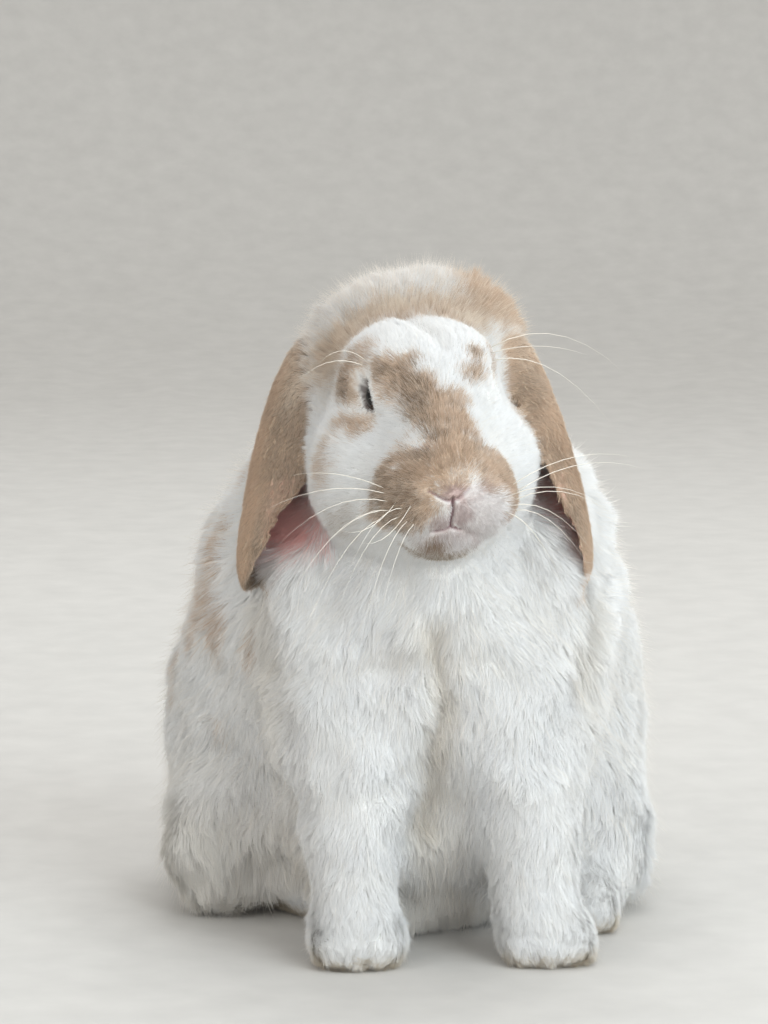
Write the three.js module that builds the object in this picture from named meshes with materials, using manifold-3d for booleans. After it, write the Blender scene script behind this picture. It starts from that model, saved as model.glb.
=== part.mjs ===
// A lop-eared rabbit sitting upright on its haunches, at life size, with its coat on.
// Millimetres. +Z is up, the rabbit faces -Y, and +X is its own left. The origin is on the
// ground under the middle of the animal.
//
// The flesh is one smooth field of blended ellipsoids and limbs. It is meshed at a cell size
// that suits each region, and then parted into the animal's named pieces by thin cuts.

import * as THREE from "three";
import { mergeVertices } from "three/addons/utils/BufferGeometryUtils.js";
import Module from "manifold-3d";

const wasm = await Module();
wasm.setup();

// ---- Driving dimensions ----

const cutGap = 0.3; // clear space left by every cut between neighbouring pieces
const reach = 600; // a cutting block that is larger than the animal

const cells = { head: 7.4, neck: 12, trunk: 19, foreleg: 10.5, paw: 8, thigh: 16, foot: 8.5, tail: 11 };

const trunk = {
  x: -5, // the hindquarters sit a little to the animal's right
  halfWidth: 100,
  rumpY: 94,
  loinY: 60,
  ribsY: 26,
  chestY: -26,
};

const neckPlane = { y: -25, z: 181, lean: 36, thickness: 26 }; // lean in degrees back from level

const head = {
  pivot: new THREE.Vector3(0, -8, 196), // the joint with the neck, in the head's own frame
  shift: -11.5, // how far that joint sits to the animal's right
  yaw: 8, // degrees towards the animal's left
  roll: -1,
  noseY: -105,
  noseZ: 190,
};

const eye = { x: 17.8, y: -61, z: 222.5, radius: 8.6 };

const ear = {
  width: 60, // measured round the fold
  thickness: 4.6,
  rootFold: 1.85, // half the angle that the fold wraps, in radians
  stations: 13,
  acrossSteps: 6,
};

const foreleg = { x: 34, elbowZ: 66, wristZ: 24, wristRadius: 18.5, pawY: -68 };
const hindFoot = { length: 100, radius: 15.5 };
const tail = { x: -6, y: 160, z: 47, radius: 20 };

// ---- Fields: each takes a point and returns its distance outside the shape ----

// An ellipsoid at a centre, with its three radii, turned by angles in degrees about X, Y and Z.
function ellipsoid([cx, cy, cz], [rx, ry, rz], turn = [0, 0, 0]) {
  const angles = turn.map(THREE.MathUtils.degToRad);
  const m = new THREE.Matrix4().makeRotationFromEuler(new THREE.Euler(...angles, "ZYX")).elements;
  return (x, y, z) => {
    const dx = x - cx;
    const dy = y - cy;
    const dz = z - cz;
    const ux = (m[0] * dx + m[1] * dy + m[2] * dz) / rx;
    const uy = (m[4] * dx + m[5] * dy + m[6] * dz) / ry;
    const uz = (m[8] * dx + m[9] * dy + m[10] * dz) / rz;
    const near = Math.hypot(ux, uy, uz);
    const slope = Math.hypot(ux / rx, uy / ry, uz / rz);
    return slope > 0 ? (near * (near - 1)) / slope : -Math.min(rx, ry, rz);
  };
}

// A limb between two points, its radius running evenly from one end's to the other's.
function limb([ax, ay, az], [bx, by, bz], startRadius, endRadius) {
  const [ex, ey, ez] = [bx - ax, by - ay, bz - az];
  const lengthSquared = ex * ex + ey * ey + ez * ez;
  return (x, y, z) => {
    const along = ((x - ax) * ex + (y - ay) * ey + (z - az) * ez) / lengthSquared;
    const t = Math.min(1, Math.max(0, along));
    const away = Math.hypot(x - ax - t * ex, y - ay - t * ey, z - az - t * ez);
    return away - (startRadius + (endRadius - startRadius) * t);
  };
}

// The shapes joined, with a fillet of about the given size where they meet.
function blend(size, ...fields) {
  return (x, y, z) => {
    let joined = fields[0](x, y, z);
    for (let i = 1; i < fields.length; i++) {
      const next = fields[i](x, y, z);
      const h = Math.max(0, 1 - Math.abs(joined - next) / size);
      joined = Math.min(joined, next) - (h * h * h * size) / 6;
    }
    return joined;
  };
}

// The first shape with the second pressed into it, with soft edges.
function pressed(size, shape, tool) {
  return (x, y, z) => {
    const a = shape(x, y, z);
    const b = -tool(x, y, z);
    const h = Math.max(0, 1 - Math.abs(a - b) / size);
    return Math.max(a, b) + (h * h * h * size) / 6;
  };
}

const bothSides = (field) => (x, y, z) => field(Math.abs(x), y, z);
const grown = (field, by) => (x, y, z) => field(x, y, z) - by;

function placed(field, matrix) {
  const m = matrix.clone().invert().elements;
  return (x, y, z) =>
    field(
      m[0] * x + m[4] * y + m[8] * z + m[12],
      m[1] * x + m[5] * y + m[9] * z + m[13],
      m[2] * x + m[6] * y + m[10] * z + m[14],
    );
}

// ---- The animal's shape ----

function trunkField() {
  const w = trunk.halfWidth;
  const torso = blend(
    26,
    ellipsoid([trunk.x, trunk.rumpY, 72], [w * 0.9, 76, 74]),
    ellipsoid([trunk.x + 1.5, trunk.loinY, 88], [w * 1.01, 80, 86]),
    ellipsoid([trunk.x + 1, trunk.ribsY, 128], [w * 0.92, 72, 78]),
    ellipsoid([-5, 18, 166], [w * 0.75, 58, 58]),
    ellipsoid([0, trunk.chestY, 120], [w * 0.57, 44, 62]),
  );
  const belly = blend(
    12,
    ellipsoid([0, 14, 38], [w * 0.66, 50, 44]),
    ellipsoid([1, -20, 58], [32, 30, 64]),
  );
  const shoulders = bothSides(ellipsoid([39, -20, 108], [30, 39, 54], [8, 0, 0]));
  const thighs = [-65, 59].map((x) =>
    ellipsoid([x, 70, 58], [41, 62, 66], [-12, 0, Math.sign(x) * 6]),
  );
  const knees = [-87, 76].map((x) => ellipsoid([x, 24, 26], [24, 27, 34], [-14, 0, 0]));
  return blend(12, torso, belly, shoulders, ...thighs, ...knees);
}

function neckField() {
  return blend(
    18,
    ellipsoid([-2, 2, 178], [52, 44, 42]),
    limb([-3, 10, 172], [-7, -6, 210], 48, 34),
    ellipsoid([-6, 20, 196], [46, 38, 44]),
  );
}

// The head faces straight ahead in its own frame, and is turned afterwards.
function headField() {
  const nose = [0, head.noseY + 5, head.noseZ];
  const skull = blend(
    10,
    ellipsoid([0, -32, 219], [34, 42, 34], [24, 0, 0]),
    bothSides(ellipsoid([13, -50, 230], [18.5, 24, 18], [30, 0, 0])),
    bothSides(ellipsoid([22, -12, 224], [20, 24, 28])),
  );
  const jaw = blend(
    10,
    bothSides(ellipsoid([23.5, -46, 191], [22, 31, 28], [8, 0, 0])),
    ellipsoid([0, -54, 181], [33, 36, 25]),
  );
  const muzzle = blend(
    9,
    limb([0, -56, 224], [0, -93, 197], 20, 12),
    ellipsoid([0, -78, 190], [27, 27, 23], [20, 0, 0]),
    bothSides(ellipsoid([14, -89, 184], [15.5, 15, 15])),
    ellipsoid(nose, [8, 7, 7]),
    ellipsoid([0, -84, 170], [16, 14, 10.5]),
  );
  const crest = blend(
    16,
    ellipsoid([9, -5, 243], [45, 23, 26]),
    ellipsoid([6, 10, 226], [42, 30, 36]),
  );
  const sockets = bothSides(ellipsoid([eye.x + 10, eye.y - 3, eye.z], [6, 8, 7]));
  return pressed(3, blend(8, blend(10, skull, jaw, muzzle), crest), sockets);
}

function forelegField(side, pawX) {
  const x = side * foreleg.x;
  const wrist = [(x + pawX) / 2, foreleg.pawY + 4, foreleg.wristZ];
  const toes = [-1.5, -0.5, 0.5, 1.5].map((place) =>
    ellipsoid([pawX + place * 9.5, foreleg.pawY - 13 + Math.abs(place) * 2.2, 7], [6, 9.5, 8.5]),
  );
  return blend(
    7,
    limb([side * 43, -24, 108], [x * 1.04, -50, foreleg.elbowZ], 31, 24),
    limb([x * 1.04, -50, foreleg.elbowZ], wrist, 23, foreleg.wristRadius),
    ellipsoid([pawX, foreleg.pawY, 12], [21, 21, 15]),
    ...toes,
  );
}

// A hind foot lies flat from its heel to its toes.
function hindFootField(heel, toe) {
  const [hx, hy] = heel;
  const [tx, ty] = toe;
  const direction = new THREE.Vector2(tx - hx, ty - hy).normalize();
  const across = new THREE.Vector2(-direction.y, direction.x);
  const toes = [-1.5, -0.5, 0.5, 1.5].map((place) => {
    const back = 6 + Math.abs(place) * 2;
    const x = tx + across.x * place * 7.2 - direction.x * back;
    const y = ty + across.y * place * 7.2 - direction.y * back;
    const turn = THREE.MathUtils.radToDeg(Math.atan2(direction.x, -direction.y));
    return ellipsoid([x, y, 7], [5.2, 10, 8], [0, 0, turn]);
  });
  const ballX = tx - direction.x * 20;
  const ballY = ty - direction.y * 20;
  return blend(
    6,
    limb([hx, hy, 17], [ballX, ballY, 12], hindFoot.radius + 1.5, hindFoot.radius),
    ...toes,
  );
}

const headTurn = new THREE.Matrix4()
  .makeTranslation(head.pivot.x + head.shift, head.pivot.y, head.pivot.z)
  .multiply(
    new THREE.Matrix4().makeRotationFromEuler(
      new THREE.Euler(0, THREE.MathUtils.degToRad(head.roll), THREE.MathUtils.degToRad(head.yaw)),
    ),
  )
  .multiply(new THREE.Matrix4().makeTranslation(-head.pivot.x, -head.pivot.y, -head.pivot.z));

const rightPawX = 1 - foreleg.x;
const leftPawX = foreleg.x + 6.5;
const forelegs = blend(3, forelegField(-1, rightPawX), forelegField(1, leftPawX));
const placedHead = placed(headField(), headTurn);
const upperBody = blend(16, trunkField(), neckField());
const body = blend(9, upperBody, placedHead);

// The forelegs flow into the chest at the shoulder and stand clear of the belly lower down.
function flesh(x, y, z) {
  const b = body(x, y, z);
  const l = forelegs(x, y, z);
  const t = Math.min(1, Math.max(0, (z - 58) / 50));
  const size = 3 + 15 * t;
  const h = Math.max(0, 1 - Math.abs(b - l) / size);
  return Math.min(b, l) - (h * h * h * size) / 6;
}

const rightFoot = hindFootField([-68, 52], [-13, -36]);
const leftFoot = hindFootField([70, 72], [62, -33]);
const tailField = blend(
  8,
  ellipsoid([tail.x, tail.y, tail.z], [tail.radius * 0.9, tail.radius * 0.9, tail.radius * 1.2]),
  ellipsoid([tail.x, tail.y - 14, tail.z - 14], [tail.radius * 0.8, tail.radius, tail.radius * 0.8]),
);

// ---- Meshing ----

const corners = [0, 1, 2, 3, 4, 5, 6, 7].map((c) => [c & 1, (c >> 1) & 1, (c >> 2) & 1]);
const edges = [];
for (let a = 0; a < 8; a++)
  for (const bit of [1, 2, 4]) if (!(a & bit)) edges.push([a, a | bit]);
const faces = [0, 1, 2].flatMap((axis) =>
  [0, 1].map((side) => {
    const [u, v] = [0, 1, 2].filter((k) => k !== axis).map((k) => 1 << k);
    const base = side << axis;
    return [base, base | u, base | u | v, base | v];
  }),
);
const edgeOf = (a, b) => edges.findIndex(([p, q]) => (p === a && q === b) || (p === b && q === a));
const faceEdges = faces.map((f) => f.map((corner, i) => edgeOf(corner, f[(i + 1) % 4])));

// Groups a cell's crossed edges by the sheet of surface that crosses them.
function sheetsOf(inside) {
  const parent = edges.map((_, i) => i);
  const find = (i) => (parent[i] === i ? i : find(parent[i]));
  faces.forEach((face, f) => {
    const crossed = faceEdges[f].filter((e) => inside[edges[e][0]] !== inside[edges[e][1]]);
    if (crossed.length === 2) parent[find(crossed[0])] = find(crossed[1]);
    if (crossed.length === 4)
      face.forEach((corner, i) => {
        if (inside[corner]) parent[find(faceEdges[f][i])] = find(faceEdges[f][(i + 3) % 4]);
      });
  });
  return edges.map(([a, b], i) => (inside[a] !== inside[b] ? find(i) : -1));
}

// Meshes the zero level of a field inside a box, with vertices drawn onto the true surface.
function polygonise(field, low, high, cell) {
  const counts = low.map((l, k) => Math.ceil((high[k] - l) / cell) + 1);
  const [nx, ny, nz] = counts;
  const values = new Float32Array(nx * ny * nz);
  const index = (i, j, k) => i + nx * (j + ny * k);
  for (let k = 0; k < nz; k++)
    for (let j = 0; j < ny; j++)
      for (let i = 0; i < nx; i++)
        values[index(i, j, k)] = field(low[0] + i * cell, low[1] + j * cell, low[2] + k * cell);

  const positions = [];
  const vertexOf = new Map(); // cell and edge group to vertex number
  const at = (i, j, k, e) => vertexOf.get(index(i, j, k) * 12 + e);
  for (let k = 0; k < nz - 1; k++)
    for (let j = 0; j < ny - 1; j++)
      for (let i = 0; i < nx - 1; i++) {
        const v = corners.map(([a, b, c]) => values[index(i + a, j + b, k + c)]);
        const inside = v.map((value) => value < 0);
        if (inside.every((s) => s === inside[0])) continue;
        const sheets = sheetsOf(inside);
        for (const sheet of new Set(sheets.filter((s) => s >= 0))) {
          const sum = [0, 0, 0];
          let n = 0;
          sheets.forEach((s, e) => {
            if (s !== sheet) return;
            const [a, b] = edges[e];
            const t = v[a] / (v[a] - v[b]);
            for (let q = 0; q < 3; q++) sum[q] += corners[a][q] * (1 - t) + corners[b][q] * t;
            n++;
            vertexOf.set(index(i, j, k) * 12 + e, positions.length / 3);
          });
          const p = [i, j, k].map((c, q) => low[q] + (c + sum[q] / n) * cell);
          positions.push(...drawnToSurface(field, p, cell));
        }
      }

  const triangles = [];
  const steps = [
    [1, 0, 0],
    [0, 1, 0],
    [0, 0, 1],
  ];
  for (let k = 1; k < nz - 1; k++)
    for (let j = 1; j < ny - 1; j++)
      for (let i = 1; i < nx - 1; i++)
        steps.forEach((step, axis) => {
          const from = values[index(i, j, k)] < 0;
          const to = values[index(i + step[0], j + step[1], k + step[2])] < 0;
          if (from === to) return;
          const [u, w] = [(axis + 1) % 3, (axis + 2) % 3];
          const quad = [
            [0, 0],
            [1, 0],
            [1, 1],
            [0, 1],
          ].map(([du, dw]) => {
            const c = [i, j, k];
            c[u] -= du;
            c[w] -= dw;
            const start = (du << u) | (dw << w);
            return at(c[0], c[1], c[2], edgeOf(start, start | (1 << axis)));
          });
          if (!from) quad.reverse();
          const d = (p, q) =>
            Math.hypot(...[0, 1, 2].map((m) => positions[quad[p] * 3 + m] - positions[quad[q] * 3 + m]));
          const [a, b, c, e] = d(0, 2) <= d(1, 3) ? quad : [...quad.slice(1), quad[0]];
          triangles.push(a, b, c, a, c, e);
        });
  const geometry = new THREE.BufferGeometry();
  geometry.setAttribute("position", new THREE.Float32BufferAttribute(positions, 3));
  geometry.setIndex(triangles);
  return geometry;
}

function drawnToSurface(field, point, cell) {
  const p = [...point];
  const h = cell * 0.05;
  for (let n = 0; n < 3; n++) {
    const d = field(...p);
    const g = [0, 1, 2].map((k) => {
      const q = [...p];
      q[k] += h;
      return (field(...q) - d) / h;
    });
    const gg = g[0] ** 2 + g[1] ** 2 + g[2] ** 2;
    if (gg < 1e-6) break;
    for (let k = 0; k < 3; k++) {
      const move = (-d * g[k]) / gg;
      p[k] += Math.max(-cell * 0.3, Math.min(cell * 0.3, move));
    }
  }
  return p.map((c, k) => Math.max(point[k] - cell * 0.45, Math.min(point[k] + cell * 0.45, c)));
}

// ---- Solids ----

function solidFrom(geometry, matrix = new THREE.Matrix4()) {
  const bare = geometry.clone().applyMatrix4(matrix);
  bare.deleteAttribute("normal");
  bare.deleteAttribute("uv");
  const merged = mergeVertices(bare, 1e-3);
  return new wasm.Manifold(
    new wasm.Mesh({
      numProp: 3,
      vertProperties: merged.attributes.position.array,
      triVerts: new Uint32Array(merged.index.array),
    }),
  );
}

// A copy whose surface stands a little further out all over.
function swollen(solid, by) {
  const { vertProperties, triVerts } = solid.getMesh();
  const geometry = new THREE.BufferGeometry();
  geometry.setAttribute("position", new THREE.BufferAttribute(vertProperties.slice(), 3));
  geometry.setIndex([...triVerts]);
  geometry.computeVertexNormals();
  const { position, normal } = geometry.attributes;
  for (let i = 0; i < position.array.length; i++) position.array[i] += by * normal.array[i];
  return solidFrom(geometry);
}

// The solid, cut clear of its neighbours.
function clearOf(solid, ...neighbours) {
  return neighbours.reduce(
    (left, other) => left.subtract(swollen(other, cutGap * 2)).subtract(other),
    solid,
  );
}

function largestBody(solid) {
  return solid.decompose().sort((a, b) => b.volume() - a.volume())[0];
}

function meshFrom(solid, name) {
  const { vertProperties, triVerts, numProp } = largestBody(solid).getMesh();
  const positions = [];
  for (let i = 0; i < vertProperties.length; i += numProp)
    positions.push(vertProperties[i], vertProperties[i + 1], vertProperties[i + 2]);
  const geometry = new THREE.BufferGeometry();
  geometry.setAttribute("position", new THREE.Float32BufferAttribute(positions, 3));
  geometry.setIndex([...triVerts]);
  geometry.computeVertexNormals();
  const mesh = new THREE.Mesh(geometry, finishOf(name));
  mesh.name = name;
  return mesh;
}

// Everything on the +Z side of a plane that passes through a point and leans by angles about X, Y.
function halfSpace([x, y, z], leanX = 0, leanY = 0) {
  const block = new THREE.BoxGeometry(reach, reach, reach).translate(0, 0, reach / 2);
  const turn = new THREE.Euler(THREE.MathUtils.degToRad(leanX), THREE.MathUtils.degToRad(leanY), 0);
  const matrix = new THREE.Matrix4().makeRotationFromEuler(turn).setPosition(x, y, z);
  return solidFrom(block, matrix);
}

function ball([x, y, z], [rx, ry, rz], extra = 0, sides = 14) {
  const geometry = new THREE.SphereGeometry(1, sides, Math.round(sides * 0.6));
  const matrix = new THREE.Matrix4()
    .makeTranslation(x, y, z)
    .scale(new THREE.Vector3(rx + extra, ry + extra, rz + extra));
  return solidFrom(geometry, matrix);
}

const ground = halfSpace([0, 0, 0]);

// Meshes what a field holds within a box.
function meshed(field, low, high, cell) {
  const centre = low.map((l, k) => (l + high[k]) / 2);
  const half = low.map((l, k) => (high[k] - l) / 2);
  const boxed = (x, y, z) =>
    Math.max(
      field(x, y, z),
      Math.abs(x - centre[0]) - half[0],
      Math.abs(y - centre[1]) - half[1],
      Math.abs(z - centre[2]) - half[2],
    );
  const wider = (corner, by) => corner.map((c) => c + by * cell);
  return solidFrom(polygonise(boxed, wider(low, -1.6), wider(high, 1.6), cell));
}

function fleshMesh(low, high, cell) {
  return meshed(flesh, low, high, cell).intersect(ground);
}

// ---- Ears ----

// An ear is a long leaf of even thickness, folded lengthwise into a trough. Its ridge follows a
// curve, and the trough opens along a direction that turns slowly from the root to the tip.
function earGeometry(ridgePoints, openings, tipFold) {
  const ridge = new THREE.CatmullRomCurve3(ridgePoints.map((p) => new THREE.Vector3(...p)));
  const openingAt = new THREE.CatmullRomCurve3(openings.map((p) => new THREE.Vector3(...p)));
  const rings = [];
  for (let s = 0; s <= ear.stations; s++) {
    const t = s / ear.stations;
    const centre = ridge.getPoint(t);
    const along = ridge.getTangent(t);
    const opening = openingAt.getPoint(t);
    opening.addScaledVector(along, -opening.dot(along)).normalize();
    const across = new THREE.Vector3().crossVectors(along, opening).normalize();
    const spread = 0.6 + 0.4 * THREE.MathUtils.smoothstep(t, 0, 0.55);
    const pastWidest = Math.max(0, (t - 0.5) / 0.5);
    const width = ear.width * Math.max(0.14, spread * Math.sqrt(1 - Math.pow(pastWidest, 2.1)));
    const fold = THREE.MathUtils.lerp(ear.rootFold, tipFold, Math.pow(t, 1.5));
    const radius = width / (2 * fold);
    const thickness = ear.thickness * (1 - 0.25 * t);
    const ring = [];
    for (const face of [1, -1])
      for (let a = 0; a <= ear.acrossSteps; a++) {
        if (face === -1 && (a === 0 || a === ear.acrossSteps)) continue;
        const share = face * (1 - (2 * a) / ear.acrossSteps);
        const angle = share * fold;
        const outward = new THREE.Vector3()
          .addScaledVector(opening, -Math.cos(angle))
          .addScaledVector(across, Math.sin(angle));
        const edge = Math.sqrt(1 - Math.pow(share, 4));
        const distance = radius + face * 0.5 * thickness * edge;
        ring.push(centre.clone().addScaledVector(opening, radius).addScaledVector(outward, distance));
      }
    rings.push(ring);
  }
  const n = rings[0].length;
  const middle = (ring) => ring.reduce((a, b) => a.add(b), new THREE.Vector3()).divideScalar(n);
  const startCap = rings.length * n;
  const points = [...rings.flat(), middle(rings[0].map((p) => p.clone()))];
  points.push(middle(rings.at(-1).map((p) => p.clone())));
  const triangles = [];
  for (let s = 0; s < ear.stations; s++)
    for (let a = 0; a < n; a++) {
      const b = (a + 1) % n;
      const [p, q] = [s * n + a, s * n + b];
      triangles.push(p, q, q + n, p, q + n, p + n);
    }
  for (let a = 0; a < n; a++) {
    const b = (a + 1) % n;
    const last = ear.stations * n;
    triangles.push(startCap, b, a, startCap + 1, last + a, last + b);
  }
  const geometry = new THREE.BufferGeometry().setFromPoints(points);
  geometry.setIndex(triangles);
  return geometry;
}

// ---- Materials ----

const colours = { head: 0xcdb79f, ear: 0xb59473, eye: 0x1a0f0a };
const whiteCoat = 0xe6e4dd;

function finishOf(name) {
  const color = colours[name.split("_")[0]] ?? whiteCoat;
  const roughness = name.startsWith("eye") ? 0.1 : 0.95;
  return new THREE.MeshStandardMaterial({ color, roughness, metalness: 0 });
}

// ---- Pieces ----

function headAndNeck(solids) {
  const lean = neckPlane.lean;
  const up = new THREE.Vector3(0, 0, 1).applyEuler(new THREE.Euler(THREE.MathUtils.degToRad(lean)));
  const at = (offset) => [0, neckPlane.y + up.y * offset, neckPlane.z + up.z * offset];
  const lower = -neckPlane.thickness;
  solids.head = fleshMesh([-70, -125, 130], [70, 60, 290], cells.head).intersect(
    halfSpace(at(cutGap / 2), lean),
  );
  solids.neck = fleshMesh([-90, -120, 90], [90, 110, 270], cells.neck)
    .intersect(halfSpace(at(-cutGap / 2), lean + 180))
    .intersect(halfSpace(at(lower + cutGap / 2), lean));
  for (const [name, side] of Object.entries({ eye_right: -1, eye_left: 1 })) {
    const place = new THREE.Vector3(side * eye.x, eye.y, eye.z).applyMatrix4(headTurn).toArray();
    const radii = [eye.radius, eye.radius, eye.radius];
    solids.head = solids.head.subtract(ball(place, radii, cutGap, 16));
    solids[name] = ball(place, radii, 0, 16);
  }
  return halfSpace(at(lower - cutGap / 2), lean + 180);
}

function trunkAndLegs(solids, belowNeck) {
  const cutters = {
    foreleg_right: (extra) => ball([-38, -58, 40], [33, 40, 82], extra),
    foreleg_left: (extra) => ball([40, -58, 40], [33, 40, 82], extra),
    thigh_right: (extra) => ball([-84, 56, 40], [46, 84, 92], extra),
    thigh_left: (extra) => ball([84, 56, 40], [46, 84, 92], extra),
  };
  solids.trunk = fleshMesh([-125, -125, 0], [125, 215, 290], cells.trunk).intersect(belowNeck);
  for (const cutter of Object.values(cutters)) solids.trunk = solids.trunk.subtract(cutter(cutGap));
  const front = fleshMesh([-80, -110, 0], [80, -10, 140], cells.foreleg).intersect(belowNeck);
  const back = fleshMesh([-130, -40, 0], [130, 150, 150], cells.thigh).intersect(belowNeck);
  const paws = fleshMesh([-80, -110, 0], [80, -30, foreleg.wristZ + 12], cells.paw);
  const aboveWrist = halfSpace([0, 0, foreleg.wristZ + cutGap / 2]);
  const belowWrist = halfSpace([0, 0, foreleg.wristZ - cutGap / 2], 180);
  for (const side of ["right", "left"]) {
    const cutFront = cutters["foreleg_" + side](0);
    solids["foreleg_" + side] = front.intersect(cutFront).intersect(aboveWrist);
    solids["forepaw_" + side] = paws.intersect(cutFront).intersect(belowWrist);
    solids["thigh_" + side] = back.intersect(cutters["thigh_" + side](0));
  }
}

function feetAndTail(solids) {
  const names = Object.keys(solids).filter((name) => /^(trunk|thigh|fore)/.test(name));
  const body = names.map((name) => solids[name]);
  for (const [name, field] of Object.entries({ hindfoot_right: rightFoot, hindfoot_left: leftFoot })) {
    const foot = meshed(field, [-100, -60, -12], [100, 110, 50], cells.foot).intersect(ground);
    solids[name] = clearOf(foot, ...body);
  }
  const whole = meshed(tailField, [-50, 110, -10], [50, 215, 100], cells.tail).intersect(ground);
  solids.tail = clearOf(whole, solids.trunk);
}

// Each ear's ridge from root to tip, and the way its trough opens along it.
function hangingEars(solids) {
  const right = earGeometry(
    [
      [-30, -6, 247],
      [-51, -10, 239],
      [-65, -18, 212],
      [-73, -28, 183],
      [-77, -37, 157],
      [-76, -42, 144],
    ],
    [
      [0.3, 0.1, -1],
      [0.75, 0.1, -0.6],
      [0.97, -0.1, 0],
      [0.95, -0.25, 0],
    ],
    1.25,
  );
  const left = earGeometry(
    [
      [16, -4, 247],
      [36, -8, 240],
      [49, -16, 214],
      [55, -28, 184],
      [59, -40, 157],
      [58, -45, 145],
    ],
    [
      [-0.3, 0, -1],
      [-0.75, -0.1, -0.6],
      [-0.92, -0.35, 0],
      [-0.95, -0.3, 0],
    ],
    1.0,
  );
  const { head, neck, trunk } = solids;
  solids.ear_right = clearOf(solidFrom(right), head, neck, trunk);
  solids.ear_left = clearOf(solidFrom(left), head, neck, trunk);
}

function build() {
  const solids = {};
  const belowNeck = headAndNeck(solids);
  trunkAndLegs(solids, belowNeck);
  feetAndTail(solids);
  hangingEars(solids);
  const group = new THREE.Group();
  for (const [name, solid] of Object.entries(solids)) group.add(meshFrom(solid, name));
  return group;
}

const rabbit = build();

// The origin moves to the ground under the middle of the whole animal.
const bounds = new THREE.Box3().setFromObject(rabbit);
const middle = bounds.getCenter(new THREE.Vector3());
rabbit.position.set(-middle.x, -middle.y, -bounds.min.z);

export default rabbit;
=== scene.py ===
import bpy
import math
import numpy as np
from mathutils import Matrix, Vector
from mathutils.bvhtree import BVHTree
from mathutils.kdtree import KDTree


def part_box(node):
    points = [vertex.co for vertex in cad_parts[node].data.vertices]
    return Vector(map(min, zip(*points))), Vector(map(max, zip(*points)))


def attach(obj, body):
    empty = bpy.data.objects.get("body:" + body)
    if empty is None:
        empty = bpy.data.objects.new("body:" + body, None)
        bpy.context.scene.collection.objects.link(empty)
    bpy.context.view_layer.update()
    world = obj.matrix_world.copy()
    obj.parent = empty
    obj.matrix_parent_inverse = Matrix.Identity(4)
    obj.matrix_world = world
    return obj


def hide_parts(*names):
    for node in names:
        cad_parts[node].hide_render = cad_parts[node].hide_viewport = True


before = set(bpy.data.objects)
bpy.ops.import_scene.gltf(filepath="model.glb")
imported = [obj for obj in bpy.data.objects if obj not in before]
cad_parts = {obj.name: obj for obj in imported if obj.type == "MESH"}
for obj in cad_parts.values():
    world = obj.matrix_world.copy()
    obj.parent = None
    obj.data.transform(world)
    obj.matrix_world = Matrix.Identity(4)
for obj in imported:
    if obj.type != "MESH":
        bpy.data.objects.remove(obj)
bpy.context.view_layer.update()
mm = 0.001
print("frame loaded")


def clamp(values):
    return np.clip(values, 0, 1)


def rise(low, high, value):
    # smoothly from 0 to 1 between low and high
    t = clamp((value - low) / (high - low))
    return t * t * (3 - 2 * t)


def fall(low, high, value):
    return 1 - rise(low, high, value)


def unit(vectors):
    return vectors / np.maximum(np.linalg.norm(vectors, axis=-1, keepdims=True), 1e-9)


def columns(*parts):
    # numbers or arrays side by side
    return np.stack(np.broadcast_arrays(*parts), -1)


def waves(points, size, seed, count=11):
    # a smooth random field over space, about one in spread, with lumps about half of size across
    rng = np.random.default_rng(seed)
    turns = unit(rng.normal(size=(count, 3))) * (2 * math.pi / size * rng.uniform(0.6, 1.5, (count, 1)))
    starts = rng.uniform(0, 2 * math.pi, count)
    return np.sin(points @ turns.T + starts).sum(1) / math.sqrt(count / 2)


def deselectAll():
    if bpy.context.object and bpy.context.object.mode != "OBJECT":
        bpy.ops.object.mode_set(mode="OBJECT")
    bpy.ops.object.select_all(action="DESELECT")


def makeActive(piece):
    deselectAll()
    piece.select_set(True)
    bpy.context.view_layer.objects.active = piece


def startEdit():
    bpy.ops.object.mode_set(mode="EDIT")
    bpy.ops.mesh.select_all(action="SELECT")


def endEdit():
    bpy.ops.object.mode_set(mode="OBJECT")


def gathered(items, key, width, kind=np.float32):
    found = np.empty(len(items) * width, kind)
    items.foreach_get(key, found)
    return found.reshape(-1, width)


def pointsOf(mesh):
    return gathered(mesh.vertices, "co", 3).astype(float) / mm


def movePoints(mesh, points):
    mesh.vertices.foreach_set("co", (points * mm).astype(np.float32).ravel())
    mesh.update()


def normalsOf(mesh):
    return unit(gathered(mesh.vertex_normals, "vector", 3).astype(float))


def linksOf(mesh):
    # the points at both ends of each edge, both ways round, and how many neighbours each point has
    a, b = gathered(mesh.edges, "vertices", 2, np.int32).T
    near, far = np.r_[a, b], np.r_[b, a]
    return near, far, np.maximum(np.bincount(near, minlength=len(mesh.vertices)), 1)


def smoothed(values, links, rounds, share=0.5):
    # each round moves every value part of the way to its neighbours' mean
    near, far, count = links
    flat = values if values.ndim > 1 else values[:, None]
    share = share if np.isscalar(share) else share[:, None]
    for _ in range(rounds):
        mean = np.stack([np.bincount(near, column[far], len(count)) for column in flat.T], 1)
        flat = flat + share * (mean / count[:, None] - flat)
    return flat if values.ndim > 1 else flat[:, 0]


def paint(mesh, name, *parts):
    # up to three columns of numbers as one colour attribute
    rgba = np.ones((len(parts[0]), 4), np.float32)
    for k, column in enumerate(parts):
        rgba[:, k] = column
    mesh.attributes.new(name, "FLOAT_COLOR", "POINT").data.foreach_set("color", rgba.ravel())


def centreOf(node):
    low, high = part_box(node)
    return np.array((low + high) / 2) / mm


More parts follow.
